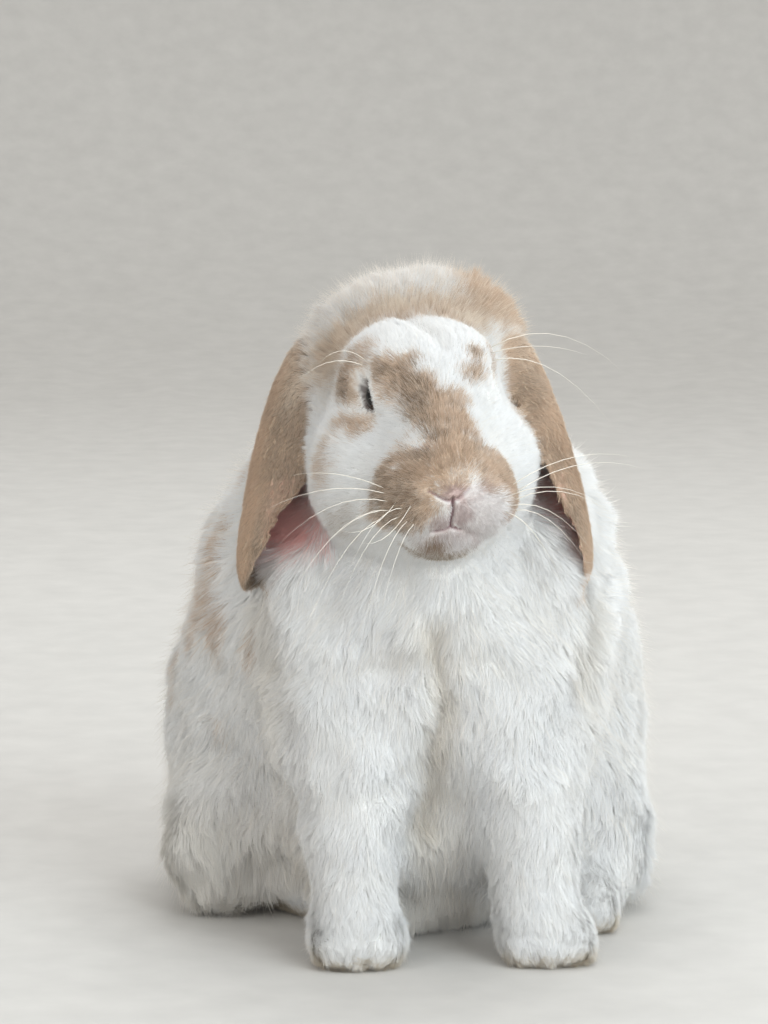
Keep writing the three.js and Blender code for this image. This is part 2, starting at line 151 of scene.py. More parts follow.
eyeSink = 1.4  # mm that each ball lies nearer to the middle than its solid
eyeRadius = (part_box("eye_left")[1].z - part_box("eye_left")[0].z) / 2 / mm
eyeCentres = {"right": centreOf("eye_right"), "left": centreOf("eye_left")}
headOrigin = (eyeCentres["right"] + eyeCentres["left"]) / 2
across = unit(eyeCentres["left"] - eyeCentres["right"])  # towards the rabbit's left
ahead = unit(np.cross(across, (0, 0, 1)))  # towards the nose, level
headAxes = np.stack([across, ahead, np.cross(ahead, across)])
eyeCentres["right"] = eyeCentres["right"] + eyeSink * across
eyeCentres["left"] = eyeCentres["left"] - eyeSink * across


def inHead(points):
    # across, ahead and up from the middle between the eyes, in mm
    return (points - headOrigin) @ headAxes.T


def fromHead(vectors):
    return np.asarray(vectors, float) @ headAxes


studio = {
    "cameraPlace": (-120.7, -1471.4, 341.6), "cameraDown": 6.8, "cameraTurn": -4.317,
    "lens": 126.56, "sensor": 36,
    "floorRadius": 3.4, "floorColour": (0.62, 0.60, 0.57),
    # each step of the backdrop's rim: how much wider it is, and how far it rises, in metres
    "backdrop": ((1.35, 0.1), (1.2, 0.55), (1.05, 0.7), (1.0, 1.2)),
    "worldColour": (1.0, 0.985, 0.965), "worldStrength": 0.74,
    "lightAim": (0, -0.02, 0.14),
}
# each light's place, its size across, its power and its colour
lights = {
    "keyLight": ((1.5, -2.2, 1.15), 2.4, 69, (0.86, 0.95, 1.0)),
    "fillLight": ((-1.7, -1.3, 0.7), 1.8, 15, (0.94, 0.98, 1.0)),
    "backLight": ((0.2, 0.9, 1.9), 1.6, 21, (0.94, 0.98, 1.0)),
    "frontLight": ((-0.3, -2.5, 0.5), 1.1, 6, (0.97, 0.98, 1.0)),
    "sideLight": ((2.1, -0.9, 0.5), 1.4, 17, (0.88, 0.95, 1.0)),
}


def makeCamera():
    bpy.ops.object.camera_add(location=[v * mm for v in studio["cameraPlace"]])
    camera = bpy.context.object
    camera.name = "camera"
    down, turn = math.radians(90 - studio["cameraDown"]), math.radians(studio["cameraTurn"])
    camera.rotation_euler = (down, 0, turn)
    camera.data.lens = studio["lens"]
    camera.data.sensor_width = studio["sensor"]
    bpy.context.scene.camera = camera


def makeFloor():
    deselectAll()
    bpy.ops.mesh.primitive_circle_add(vertices=96, radius=studio["floorRadius"] * 0.6, fill_type="NGON")
    floor = bpy.context.object
    floor.name = "studioFloor"
    startEdit()
    bpy.ops.mesh.select_mode(type="EDGE")
    bpy.ops.mesh.region_to_loop()
    for grow, lift in studio["backdrop"]:
        bpy.ops.mesh.extrude_edges_move(TRANSFORM_OT_translate={"value": (0, 0, lift)})
        bpy.ops.transform.resize(value=(grow, grow, 1))
    endEdit()
    rounding = floor.modifiers.new("round", "SUBSURF")
    rounding.levels = rounding.render_levels = 2
    bpy.ops.object.modifier_apply(modifier="round")
    bpy.ops.object.shade_smooth()
    floor.data.materials.append(plainMaterial("paleFloor", studio["floorColour"], 0.8, 40.0, 0.0002))


def makeLight(name, place, size, power, colour):
    bpy.ops.object.light_add(type="AREA", location=place)
    light = bpy.context.object
    light.name = name
    light.data.shape = "DISK"
    light.data.size = size
    light.data.energy = power
    light.data.color = colour
    aim = Vector(studio["lightAim"]) - Vector(place)
    light.rotation_euler = aim.to_track_quat("-Z", "Y").to_euler()


def makeWorld():
    world = bpy.data.worlds.new("softSky")
    bpy.context.scene.world = world
    world.use_nodes = True
    back = world.node_tree.nodes["Background"]
    back.inputs["Color"].default_value = (*studio["worldColour"], 1)
    back.inputs["Strength"].default_value = studio["worldStrength"]


colours = {
    # the cream serves the toes and also a warm painted shade low on the body and in its folds
    "white": (0.92, 0.925, 0.93), "palest": (0.93, 0.92, 0.90), "cream": (0.74, 0.66, 0.53),
    "tan": (0.60, 0.44, 0.315), "fawn": (0.68, 0.52, 0.385), "brown": (0.23, 0.16, 0.11),
    "stain": (0.38, 0.28, 0.18), "frost": (0.95, 0.86, 0.74), "mauve": (0.42, 0.31, 0.29),
    # the pink is made bright so that it stands as painted light in the shaded hollows beside the cheeks
    "pink": (0.88, 0.41, 0.36), "flush": (0.85, 0.48, 0.42), "underCoatShade": (0.68, 0.67, 0.655),
    # the crease colour is painted shade in the nose's and mouth's creases
    "lidRim": (0.055, 0.034, 0.028), "crease": (0.28, 0.17, 0.18), "whisker": (0.86, 0.80, 0.70),
}
finishes = {
    "coat": {"Roughness": 0.62, "Specular IOR Level": 0.25, "Sheen Weight": 0.12, "Sheen Roughness": 0.4},
    "skin": {"Roughness": 0.58, "Specular IOR Level": 0.3},
    "eye": {
        "Roughness": 0.08, "Specular IOR Level": 0.1,
        "Coat Weight": 0.55, "Coat IOR": 1.3, "Coat Roughness": 0.03,
    },
}
# each noise's scale, detail and roughness
grains = {"drift": (55.0,), "pores": (900.0, 4.0), "veins": (130.0, 5.0, 0.7), "streaks": (1500.0,)}
# a tuft's tone from root to tip, darker at the root as painted shade, the range of the tufts' own tones, and
# the share of light that comes through
tuftTone = {"along": (0.95, 1.02), "own": (0.93, 1.05), "through": 0.5}


def newMaterial(name):
    material = bpy.data.materials.new(name)
    material.use_nodes = True
    tree = material.node_tree
    return material, tree, tree.nodes["Principled BSDF"]


def setSockets(node, values):
    for name, value in values.items():
        node.inputs[name].default_value = value


def feed(tree, socket, value):
    # takes a socket to link, or a value
    if isinstance(value, bpy.types.NodeSocket):
        tree.links.new(value, socket)
    else:
        socket.default_value = (*value, 1) if isinstance(value, tuple) else value


def mixColour(tree, factor, a, b, blend="MIX"):
    mix = tree.nodes.new("ShaderNodeMix")
    mix.data_type = "RGBA"
    mix.blend_type = blend
    for k, value in ((0, factor), (6, a), (7, b)):
        feed(tree, mix.inputs[k], value)
    return mix.outputs[2]


def timesNode(tree, a, b, clamp=False):
    node = tree.nodes.new("ShaderNodeMath")
    node.operation = "MULTIPLY"
    node.use_clamp = clamp
    feed(tree, node.inputs[0], a)
    feed(tree, node.inputs[1], b)
    return node.outputs[0]


def rangeNode(tree, value, low, high):
    node = tree.nodes.new("ShaderNodeMapRange")
    setSockets(node, {"To Min": low, "To Max": high})
    tree.links.new(value, node.inputs["Value"])
    return node.outputs[0]


def noiseNode(tree, place, scale, detail=3.0, roughness=0.55):
    noise = tree.nodes.new("ShaderNodeTexNoise")
    setSockets(noise, {"Scale": scale, "Detail": detail, "Roughness": roughness})
    tree.links.new(place, noise.inputs["Vector"])
    return noise.outputs[0]


def placeNode(tree):
    return tree.nodes.new("ShaderNodeTexCoord").outputs["Object"]


def paintedParts(tree, name):
    # the three columns of a painted attribute
    source = tree.nodes.new("ShaderNodeAttribute")
    source.attribute_name = name
    parts = tree.nodes.new("ShaderNodeSeparateColor")
    tree.links.new(source.outputs["Color"], parts.inputs[0])
    return [parts.outputs[k] for k in range(3)]


def addBump(tree, shader, height, strength, distance):
    bump = tree.nodes.new("ShaderNodeBump")
    setSockets(bump, {"Strength": strength, "Distance": distance})
    tree.links.new(height, bump.inputs["Height"])
    tree.links.new(bump.outputs[0], shader.inputs["Normal"])


def overlay(tree, made, *layers):
    # each layer is the share it covers and its colour
    for share, colour in layers:
        made = mixColour(tree, share, made, colours[colour] if isinstance(colour, str) else colour)
    return made


def dress(tree, shader, colour, finish):
    tree.links.new(colour, shader.inputs["Base Color"])
    setSockets(shader, finish)


def markedColour(tree, place):
    # white, cream, tan, brown or stained as painted, with the pink and frosted shares beside it
    tan, brown, pink = paintedParts(tree, "marks")
    cream, stain, frost = paintedParts(tree, "stainsAndShade")
    drift = noiseNode(tree, place, *grains["drift"])
    white = mixColour(tree, drift, colours["white"], colours["palest"])
    tanTone = mixColour(tree, drift, colours["tan"], colours["fawn"])
    made = overlay(tree, white, (cream, "cream"), (tan, tanTone), (brown, "brown"), (stain, "stain"))
    return made, pink, frost


def coatMaterial():
    material, tree, shader = newMaterial("rabbitCoat")
    made, pink, frost = markedColour(tree, placeNode(tree))
    along, tone, mauve = paintedParts(tree, "strand")
    tipped = timesNode(tree, along, frost, True)
    made = overlay(tree, made, (tipped, "frost"), (pink, "pink"), (mauve, "mauve"))
    # each tuft is greyed darker at its root: painted shade
    fromRoot = rangeNode(tree, along, *tuftTone["along"])
    shade = timesNode(tree, fromRoot, rangeNode(tree, tone, *tuftTone["own"]))
    grey = tree.nodes.new("ShaderNodeCombineColor")
    for k in range(3):
        tree.links.new(shade, grey.inputs[k])
    made = mixColour(tree, 1.0, made, grey.outputs[0], "MULTIPLY")
    dress(tree, shader, made, finishes["coat"])
    through = tree.nodes.new("ShaderNodeBsdfTranslucent")
    tree.links.new(made, through.inputs["Color"])
    both = tree.nodes.new("ShaderNodeMixShader")
    both.inputs[0].default_value = tuftTone["through"]
    tree.links.new(shader.outputs[0], both.inputs[1])
    tree.links.new(through.outputs[0], both.inputs[2])
    tree.links.new(both.outputs[0], tree.nodes["Material Output"].inputs["Surface"])
    return material


def skinMaterial():
    material, tree, shader = newMaterial("rabbitSkin")
    place = placeNode(tree)
    made, pink, _ = markedColour(tree, place)
    # the skin is greyed as painted shade, as dark as the shaded fur round it, so that bare spots read as fur
    made = mixColour(tree, 1.0, made, colours["underCoatShade"], "MULTIPLY")
    pores = noiseNode(tree, place, *grains["pores"])
    veins = noiseNode(tree, place, *grains["veins"])
    made = mixColour(tree, pink, made, mixColour(tree, veins, colours["pink"], colours["flush"]))
    # the lids' dark rims, painted shade in the nose's and mouth's creases, and the mauve
    rim, crease, mauve = paintedParts(tree, "rims")
    made = overlay(tree, made, (rim, "lidRim"), (mauve, "mauve"), (crease, "crease"))
    dress(tree, shader, made, finishes["skin"])
    addBump(tree, shader, pores, 0.5, 0.0004)
    return material


# Colours at their distances from the pupil's middle in cm: the pupil, what the lids hide, the iris, its rim.
irisStops = (
    (0.40, (0.004, 0.003, 0.003)), (0.92, (0.010, 0.006, 0.004)),
    (0.46, (0.040, 0.018, 0.009)), (0.80, (0.024, 0.011, 0.006)),
)


def eyeMaterial():
    material, tree, shader = newMaterial("eyeGloss")
    reach = tree.nodes.new("ShaderNodeAttribute")
    reach.attribute_name = "fromPupil"
    streaks = noiseNode(tree, placeNode(tree), *grains["streaks"])
    ramp = tree.nodes.new("ShaderNodeValToRGB")
    stops = ramp.color_ramp.elements
    for k, (distance, colour) in enumerate(irisStops):
        stop = stops[k] if k < 2 else stops.new(distance)
        stop.position, stop.color = distance, (*colour, 1)
    tree.links.new(timesNode(tree, reach.outputs["Fac"], 0.1), ramp.inputs[0])  # from mm to cm
    made = mixColour(tree, 0.5, ramp.outputs[0], streaks, "MULTIPLY")
    dress(tree, shader, made, finishes["eye"])
    return material


def plainMaterial(name, colour, roughness, scale, depth):
    material, tree, shader = newMaterial(name)
    grain = noiseNode(tree, placeNode(tree), scale)
    darker = tuple(0.82 * c for c in colour)
    dress(tree, shader, mixColour(tree, grain, darker, colour), {"Roughness": roughness})
    addBump(tree, shader, grain, 0.3, depth)
    return material


regions = ["head", "neck", "trunk", "tail", "ear", "foreleg", "forepaw", "thigh", "hindfoot"]
skinShape = {
    "voxel": 1.95, "joinGrow": 0.9,
    # rounds of smoothing, and how deep the skin lies under the coat's tips, in mm, for each of the regions
    "rounds": (34, 90, 130, 60, 6, 50, 20, 110, 22),
    "depth": (1.6, 3.8, 3.8, 5, 1.1, 2.6, 1.7, 3.6, 1.7),
    "crownDepth": 5.5, "headDepth": 1.6, "napeRise": 1.6,
    "lumpSize": 26, "lumpHeight": 1.9, "overFloor": 1.2,
}


def regionOf(name):
    return regions.index(name.split("_")[0])


def part(shares, *names):
    # how far each point belongs to any of these regions
    return sum(shares[:, regions.index(name)] for name in names)


def byRegion(shares, values):
    return shares @ np.array(values, float)


def takeFlesh():
    # merged copies of the solids, joined and remeshed as one closed skin
    deselectAll()
    for name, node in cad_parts.items():
        piece = bpy.data.objects.new(name + "Copy", node.data.copy())
        piece.data.materials.clear()
        bpy.context.scene.collection.objects.link(piece)
        piece.select_set(True)
        bpy.context.view_layer.objects.active = piece
    bpy.ops.object.join()
    skin = bpy.context.object
    startEdit()
    bpy.ops.mesh.remove_doubles(threshold=0.00001)
    bpy.ops.transform.shrink_fatten(value=skinShape["joinGrow"] * mm)
    endEdit()
    remesh = skin.modifiers.new("remesh", "REMESH")
    remesh.mode = "VOXEL"
    remesh.voxel_size = skinShape["voxel"] * mm
    bpy.ops.object.modifier_apply(modifier="remesh")
    return largestShell(skin)


def largestShell(skin):
    # the joined solids leave small closed pockets between them, which are dropped
    makeActive(skin)
    bpy.ops.mesh.separate(type="LOOSE")
    shells = sorted(bpy.context.selected_objects, key=lambda o: len(o.data.vertices))
    for pocket in shells[:-1]:
        bpy.data.meshes.remove(pocket.data)
    shells[-1].name = shells[-1].data.name = "rabbitSkin"
    makeActive(shells[-1])
    return shells[-1]


def nodeFinder():
    # finds the flesh node nearest to a place
    corners, faces, owners = [], [], []
    for name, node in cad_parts.items():
        if name.startswith("eye"):
            continue
        start = len(corners)
        corners.extend(tuple(v.co / mm) for v in node.data.vertices)
        faces.extend([start + v for v in face.vertices] for face in node.data.polygons)
        owners.extend([regionOf(name)] * len(node.data.polygons))
    return BVHTree.FromPolygons(corners, faces), owners


def regionShares(points, links, finder, rounds=10):
    tree, owners = finder
    shares = np.zeros((len(points), len(regions)))
    nearest = [owners[tree.find_nearest(p)[2]] for p in points.tolist()]
    shares[np.arange(len(points)), nearest] = 1
    return smoothed(shares, links, rounds)


def refineFaces(skin, chosen):
    # chosen takes the head's coordinates of the faces' middles and says which are cut finer
    mesh = skin.data
    picked = chosen(inHead(gathered(mesh.polygons, "center", 3) / mm))
    makeActive(skin)
    bpy.ops.object.mode_set(mode="EDIT")
    bpy.ops.mesh.select_mode(type="FACE")
    bpy.ops.mesh.select_all(action="DESELECT")
    endEdit()
    mesh.polygons.foreach_set("select", picked)
    bpy.ops.object.mode_set(mode="EDIT")
    bpy.ops.mesh.subdivide(number_cuts=1)
    bpy.ops.mesh.vertices_smooth(factor=0.5, repeat=3)
    endEdit()


def nearPoint(head, place, radii):
    return np.linalg.norm((head - np.array(place)) / np.array(radii), axis=1)


# What is cut finer, in mm: the reach round each eye, and the middle and reach of the nose and mouth.
fineAreas = {
    "face": (12, (-1.5, 42, -42), (15, 14, 17)),
    "fine": (10.8, (-1.5, 42, -41), (11, 12, 12)),
}


def inFineArea(head, name):
    eyeReach, mouth, mouthReach = fineAreas[name]
    eyes = np.minimum(*(nearPoint(head, (s * 17.8, 0, 0), (eyeReach,) * 3) for s in (-1, 1)))
    return np.minimum(eyes, nearPoint(head, mouth, mouthReach)) < 1


# Each groove is a line across and up the face, with its width and depth, in mm.
grooves = {
    "nostrilRight": ([(-2.2, -36.4), (-4.2, -36.2), (-7.2, -34.4), (-10.2, -32.4)], 0.8, 1.2),
    "nostrilLeft": ([(-0.6, -36.2), (2.2, -34.6), (5.2, -32.0)], 0.8, 1.0),
    "splitLip": ([(-1.5, -35.6), (-1.3, -40.0), (-1.7, -44.0), (-1.6, -47.0)], 0.75, 2.4),
    "mouthRight": ([(-1.6, -47.0), (-4.7, -48.1), (-7.8, -48.7)], 0.75, 2.0),
    "mouthLeft": ([(-1.6, -47.0), (0.7, -47.8), (2.6, -48.2)], 0.75, 1.8),
    "cornerRight": ([(-7.8, -48.7), (-12.0, -51.0), (-17.0, -53.0)], 1.9, 0.6),
    "cornerLeft": ([(2.6, -48.2), (8.0, -50.2), (14.0, -53.0)], 1.9, 0.7),
    "padTopRight": ([(-20.0, -21.5), (-16.9, -19.7), (-13.0, -18.6), (-7.0, -16.4)], 2.2, 1.2),
    "padTopLeft": ([(9.0, -17.0), (12.0, -18.2), (16.5, -21.2)], 2.2, 1.0),
}


# Each fold of the body is a line across and up, with its width, its depth and how far back it reaches, in mm.
folds = {
    "chestSeam": (
        [(2.9, 134), (4.5, 116), (5.5, 104), (4.2, 92), (2.7, 79), (1.6, 66), (-0.3, 52)], 5.5, 5.6, -80),
    "shoulderRight": ([(-62, 138), (-60, 118), (-56, 95), (-53.5, 80), (-52, 62)], 6.0, 3.2, -58),
    "shoulderLeft": ([(68, 138), (62.5, 121), (60.5, 102), (61, 87), (61, 66)], 6.0, 3.0, -62),
    "lobeRight": ([(-47, 77), (-38, 71), (-27, 68), (-16, 71), (-8, 79)], 5.0, 0.6, -90),
    "lobeLeft": ([(21, 73), (28, 66), (36, 70), (44, 78), (55, 82)], 5.0, 0.7, -90),
    "underNeck": ([(-28, 116), (-14, 122), (3, 126), (20, 121), (34, 117)], 5.0, 1.2, -88),
    "wristRight": ([(-46, 16.5), (-36, 18.5), (-25, 18.5), (-14, 16.5)], 1.7, 1.5, -104),
    "wristLeft": ([(26, 16), (34, 17.5), (45, 17), (57, 14)], 1.7, 1.5, -104),
    "toesRightOuter": ([(-37, 0), (-36, 11)], 1.4, 1.5, -108),
    "toesRightInner": ([(-24, 0), (-25, 11)], 1.4, 1.5, -108),
    "toesLeftInner": ([(38, 0), (38, 10)], 1.4, 1.5, -108),
    "toesLeftOuter": ([(50, 0), (49, 10)], 1.4, 1.5, -108),
}


# The cleft down the forehead, as a line across and ahead, and the heights between which it deepens, in mm.
cleft = {"line": [(-6, -30), (-2, -16), (3, -4), (5, 4)], "width": 3.4, "depth": 2.3, "heights": (10, 16)}


def cleftDepths(head):
    gap = awayFromLine(head[:, [0, 1]], cleft["line"])
    return cleft["depth"] * np.exp(-(gap / cleft["width"]) ** 2) * rise(*cleft["heights"], head[:, 2])


def foldDepths(points):
    depth = np.zeros(len(points))
    for line, width, deep, reach in folds.values():
        gap = awayFromLine(points[:, [0, 2]], line)
        front = rise(reach + 12, reach, points[:, 1])
        depth = np.maximum(depth, deep * np.exp(-(gap / width) ** 2) * front)
    return depth


def awayFromLine(flat, line):
    best = np.full(len(flat), 1e9)
    for a, b in zip(line[:-1], line[1:]):
        a, b = np.array(a), np.array(b)
        t = clamp(((flat - a) @ (b - a)) / ((b - a) @ (b - a)))
        best = np.minimum(best, np.linalg.norm(flat - a - t[:, None] * (b - a), axis=1))
    return best


def grooveDepths(head):
    # how deep each point lies in the nose's and mouth's creases, and how near it is to one
    flat, front = head[:, [0, 2]], rise(24, 32, head[:, 1])
    depth, near = np.zeros(len(head)), np.zeros(len(head))
    for line, width, deep in grooves.values():
        gap = awayFromLine(flat, line)
        depth = np.maximum(depth, deep * np.exp(-(gap / width) ** 2) * front)
        if width < 1:
            near = np.maximum(near, np.exp(-(gap / (width * 2.0)) ** 2) * front)
    return depth, near


# The lids' opening on each ball, in degrees: its turn out from the nose, its half width and height, how far
# its top leans back, and the width of the skin's bank, with what is added in front. brow is how much of it
# the tufts in front hang over. Then its turn up, and in mm the lid's thickness, how far the skin goes under
# the ball's surface, and how far it may leave the ball before the opening ends.
eyeShape = {
    "right": {
        "outwards": 83, "halfWidth": 25, "halfHeight": 42, "lean": 38, "bank": 9, "slope": 20, "brow": 0},
    "left": {
        "outwards": 89, "halfWidth": 25, "halfHeight": 40, "lean": 36, "bank": 5, "slope": 0, "brow": 1},
    "up": 1, "lid": 0.8, "under": 1.7, "farSkin": 5.5,
}


def eyeDirections(side):
    # the eye's axis, and the two directions across and up its opening, in the model's axes
    sign = -1 if side == "right" else 1
    shape = eyeShape[side]
    out, up, lean = (math.radians(v) for v in (shape["outwards"], eyeShape["up"], shape["lean"]))
    axis = fromHead((sign * math.sin(out) * math.cos(up), math.cos(out) * math.cos(up), math.sin(up)))
    nose, top = fromHead((0, 1, 0)), fromHead((0, 0, 1))
    forward = unit(nose - (nose @ axis) * axis)
    upward = unit(top - (top @ axis) * axis)
    upward = unit(upward - (upward @ forward) * forward)
    wide = forward * math.cos(lean) + upward * math.sin(lean)
    return axis, wide, upward * math.cos(lean) - forward * math.sin(lean)


def lidGap(points, side):
    # the distance from the ball's middle, the direction, and the degrees beyond the opening's edge
    axis, wide, high = eyeDirections(side)
    arms = points - eyeCentres[side]
    reach = np.linalg.norm(arms, axis=1)
    rays = arms / np.maximum(reach, 1e-6)[:, None]
    angle = np.degrees(np.arccos(np.clip(rays @ axis, -1, 1)))
    turn = np.arctan2(rays @ high, rays @ wide)
    shape = eyeShape[side]
    edge = 1 / np.sqrt((np.cos(turn) / shape["halfWidth"]) ** 2 + (np.sin(turn) / shape["halfHeight"]) ** 2)
    # the opening also ends where the skin runs away from the ball, towards the temple
    beyond = np.maximum(angle - edge, 7 * (reach - eyeRadius - eyeShape["farSkin"]))
    return reach, rays, np.where(reach < eyeRadius + 10, beyond, 180)


def sculptEyes(points):
    # also gives the lids' dark rims, each point's degrees from an opening, and where the brow hangs over
    rim, brow = np.zeros(len(points)), np.zeros(len(points))
    fromLid = np.full(len(points), 180.0)
    hidden = eyeRadius - eyeShape["under"]
    for side in eyeCentres:
        shape = eyeShape[side]
        reach, rays, beyond = lidGap(points, side)
        near = beyond < 75
        front = rise(-0.7, 0, rays @ fromHead((0, 1, 0)))
        over = shape["brow"] * front * fall(0, 40, beyond)
        # near the opening the skin comes down to the lid's thickness over the ball, and goes under it inside
        lidTop = eyeRadius + eyeShape["lid"] * (1 + 0.2 * np.exp(-((beyond - 7) / 6) ** 2))
        taken = fall(shape["bank"], 26 + shape["slope"] * front, beyond)
        taken *= fall(eyeRadius + 3.5, eyeRadius + 9.5, reach)
        outer = lidTop + np.maximum(reach - lidTop, 0) * (1 - taken)
        wanted = hidden + (outer - hidden) * rise(-3, 3, beyond)
        moved = eyeCentres[side] + rays * wanted[:, None]
        points = np.where(near[:, None], moved, points)
        rim = np.maximum(rim, near * fall(1, 5.5, beyond) * (1 - 0.85 * over * (beyond > 0)))
        fromLid, brow = np.minimum(fromLid, beyond), np.maximum(brow, over)
    return points, rim, fromLid, brow


# Where the inner edge of each ear turns forward, and by how much, in mm.
earTurn = {"inner": (50, 61), "height": 180, "reach": 19, "right": 9.0, "left": 5.0, "rounds": 8}


def turnOutEars(points, shares, links):
    # low down, towards the cheek, so that the ear's bare side shows
    side = np.sign(points[:, 0])
    inward = fall(*earTurn["inner"], np.abs(points[:, 0]))
    low = np.exp(-((points[:, 2] - earTurn["height"]) / earTurn["reach"]) ** 2)
    turn = part(shares, "ear") * inward * low * np.where(side < 0, earTurn["right"], earTurn["left"])
    return smoothed(columns(-side * turn, -0.1 * turn, 0), links, earTurn["rounds"])


# The hollow behind each cheek, filled by thick soft fur: its middle, its reach and its filling, in mm.
hollows = {"right": ((-53, -68, 161), (15, 20, 25), 10), "left": ((54, -70, 168), (19, 24, 34), 15)}


def hollowShare(points, side):
    place, radii, _ = hollows[side]
    return np.exp(-1.3 * nearPoint(points, place, radii) ** 2)


def fillHollows(points, shares, links):
    soft = clamp(part(shares, "neck", "trunk", "foreleg"))
    filling = sum(hollowShare(points, side) * hollows[side][2] for side in hollows) * soft
    return smoothed(columns(0, -filling, 0), links, 14)


def coarseSkin(finder):
    # the joined solids, smoothed by region and cut finer where the face needs it
    skin = takeFlesh()
    print("skin remeshed", len(skin.data.polygons))
    points, links = pointsOf(skin.data), linksOf(skin.data)
    rounds = byRegion(regionShares(points, links, finder, 6), skinShape["rounds"])
    most = max(skinShape["rounds"])
    points = smoothed(points, links, most, 0.5 * clamp(rounds / most) ** 0.9)
    movePoints(skin.data, points)
    for name in fineAreas:
        refineFaces(skin, lambda head: inFineArea(head, name))
    return skin


def skinDepths(points, shares):
    # how far the skin lies under the coat's tips: more at the crown, less at the eyes, nose and mouth
    head = inHead(points)
    depth = byRegion(shares, skinShape["depth"])
    crownDepth = skinShape["crownDepth"] - skinShape["headDepth"] - skinShape["napeRise"] * napeShare(head)
    depth += crownShare(head) * part(shares, "head") * crownDepth
    eyesNear = np.minimum(*(np.linalg.norm(points - c, axis=1) for c in eyeCentres.values()))
    depth *= 0.35 + 0.65 * rise(9, 17, eyesNear)
    return depth * (0.5 + 0.5 * rise(6, 14, nearPoint(head, (-1.5, 44, -40), (1, 1, 1))))


def bodyLumps(points, shares):
    # the soft lumps of thick fur on the body, fewer towards the back
    body = part(shares, "neck", "trunk", "thigh") + part(shares, "foreleg") * rise(50, 80, points[:, 2])
    body *= 1 - 0.45 * rise(-40, 20, points[:, 1])
    size = skinShape["lumpSize"]
    lumps = waves(points * (1, 1, 0.8), size * 2, 3) * 0.7 + waves(points, size, 5) * 0.5
    return body * skinShape["lumpHeight"] * lumps


def makeSkin(finder):
    # gives the skin, its points' shares of the regions, their links, and its details at each point
    skin = coarseSkin(finder)
    points, links = pointsOf(skin.data), linksOf(skin.data)
    shares = regionShares(points, links, finder)
    normals = unit(smoothed(normalsOf(skin.data), links, 8))
    points = points - normals * skinShape["joinGrow"] * (1 - 0.8 * part(shares, "ear")[:, None])
    depth = skinDepths(points, shares)
    points += turnOutEars(points, shares, links) + fillHollows(points, shares, links)
    lift = bodyLumps(points, shares) - foldDepths(points)
    points = points - normals * (depth - lift)[:, None]
    points = smoothed(points, links, 3, 0.5 * clamp(depth / 3))
    points[:, 2] = np.maximum(points[:, 2], skinShape["overFloor"])
    movePoints(skin.data, points)
    head = inHead(points)
    creases, creaseNear = grooveDepths(head)
    points = points - normalsOf(skin.data) * (creases + cleftDepths(head))[:, None]
    points, rim, fromLid, brow = sculptEyes(points)
    movePoints(skin.data, points)
    details = {"creases": creases, "creaseNear": creaseNear, "rim": rim, "fromLid": fromLid, "brow": brow}
    return skin, shares, links, details


def crownShare(head):
    # the thick band that runs over the head from ear to ear, and the nape behind it
    return rise(21, 34, -head[:, 1] + 0.12 * np.abs(head[:, 0])) * rise(-14, 4, head[:, 2])


def napeShare(head):
    # the back of the head, where the coat grows as long as the neck's
    return rise(41, 68, -head[:, 1])


# Each patch: its middle and its reach in the head's across, ahead and up directions in mm, and its strength.
tanPatches = [
    ((-26, -5, 15), (8, 9, 7), 0.62), ((-19, 8, 11), (7, 9, 7), 0.85), ((-13, 12, 7), (8, 10, 9), 0.95),
    ((-7, 18, 2), (8, 10, 9), 1.0), ((-4, 26, -6), (7.5, 9, 8), 1.0), ((3, 24, -3), (8, 9, 6), 0.85),
    ((5, 30, -10), (9, 9, 7), 0.95), ((0, 36, -19), (11, 11, 9), 1.0), ((9, 35, -20), (9, 10, 7), 0.85),
    ((-14, 34, -24), (9, 12, 8), 0.95), ((-21, 33, -33), (9, 13, 11), 0.95),
    ((-15, 40, -40), (9, 11, 7), 0.85), ((-24, 24, -43), (7, 11, 6), 0.7), ((22, 33, -27), (9, 12, 9), 0.95),
    ((25, 33, -36), (6.5, 11, 8), 0.9), ((14, 40, -27), (8, 10, 7), 0.85), ((-5, 45, -30), (9, 9, 6.5), 0.9),
    ((3, 45, -28), (6, 8, 4.5), 0.75), ((-9, 43, -38), (6, 8, 5), 0.6), ((-3, 44, -23), (10, 9, 6), 0.95),
    ((-12, 42, -30), (8, 9, 7), 0.9), ((19, 5, 15), (3.8, 5, 4.6), 0.95), ((15.5, 11, 6.5), (7, 6, 3.4), 0.9),
    ((-31, -11, 5), (6, 8, 9), 0.85), ((-29, 1, -10.5), (10, 8, 4), 0.8), ((-42, 0, -26), (4.5, 8, 11), 0.55),
    ((-34, -4, -20), (3, 6, 5), 0.35), ((27, -5, 13), (3, 6, 9), 0.5), ((40, -16, -6), (4.5, 7, 14), 0.5),
    ((26, 12, -12), (2.4, 4, 2.4), 0.4),
]
# The thin brown patches at (-14, 36, -20) and (13, 36, -19) are painted shade in the furrows above the nose's
# pads.
brownPatches = [
    ((-10, 13, 5), (6.5, 9, 7), 0.46), ((-8, 21, -3), (5, 8, 7), 0.55), ((-14, 36, -20), (8, 9, 3), 0.5),
    ((-21, 33, -36), (10, 13, 10), 0.62), ((-31, -12, 3), (4, 6, 6), 0.5), ((19, 5, 15), (2.4, 4, 3), 0.6),
    ((15.5, 11, 6.5), (4.4, 4, 2), 0.5), ((-6, 30, -12), (4, 7, 5), 0.3), ((13, 36, -19), (5, 6, 2.5), 0.3),
    ((-19, 6, 11), (3, 5, 5), 0.4), ((24, 33, -33), (5, 9, 6), 0.12),
]
stainPatches = [
    ((-5.5, 36, -54), (3.6, 6, 2.8), 0.85), ((-9, 29, -59), (12, 10, 6), 0.6),
    ((5, 25, -60), (11, 10, 5), 0.55), ((-38, 6, -50), (9, 14, 9), 0.26),
]
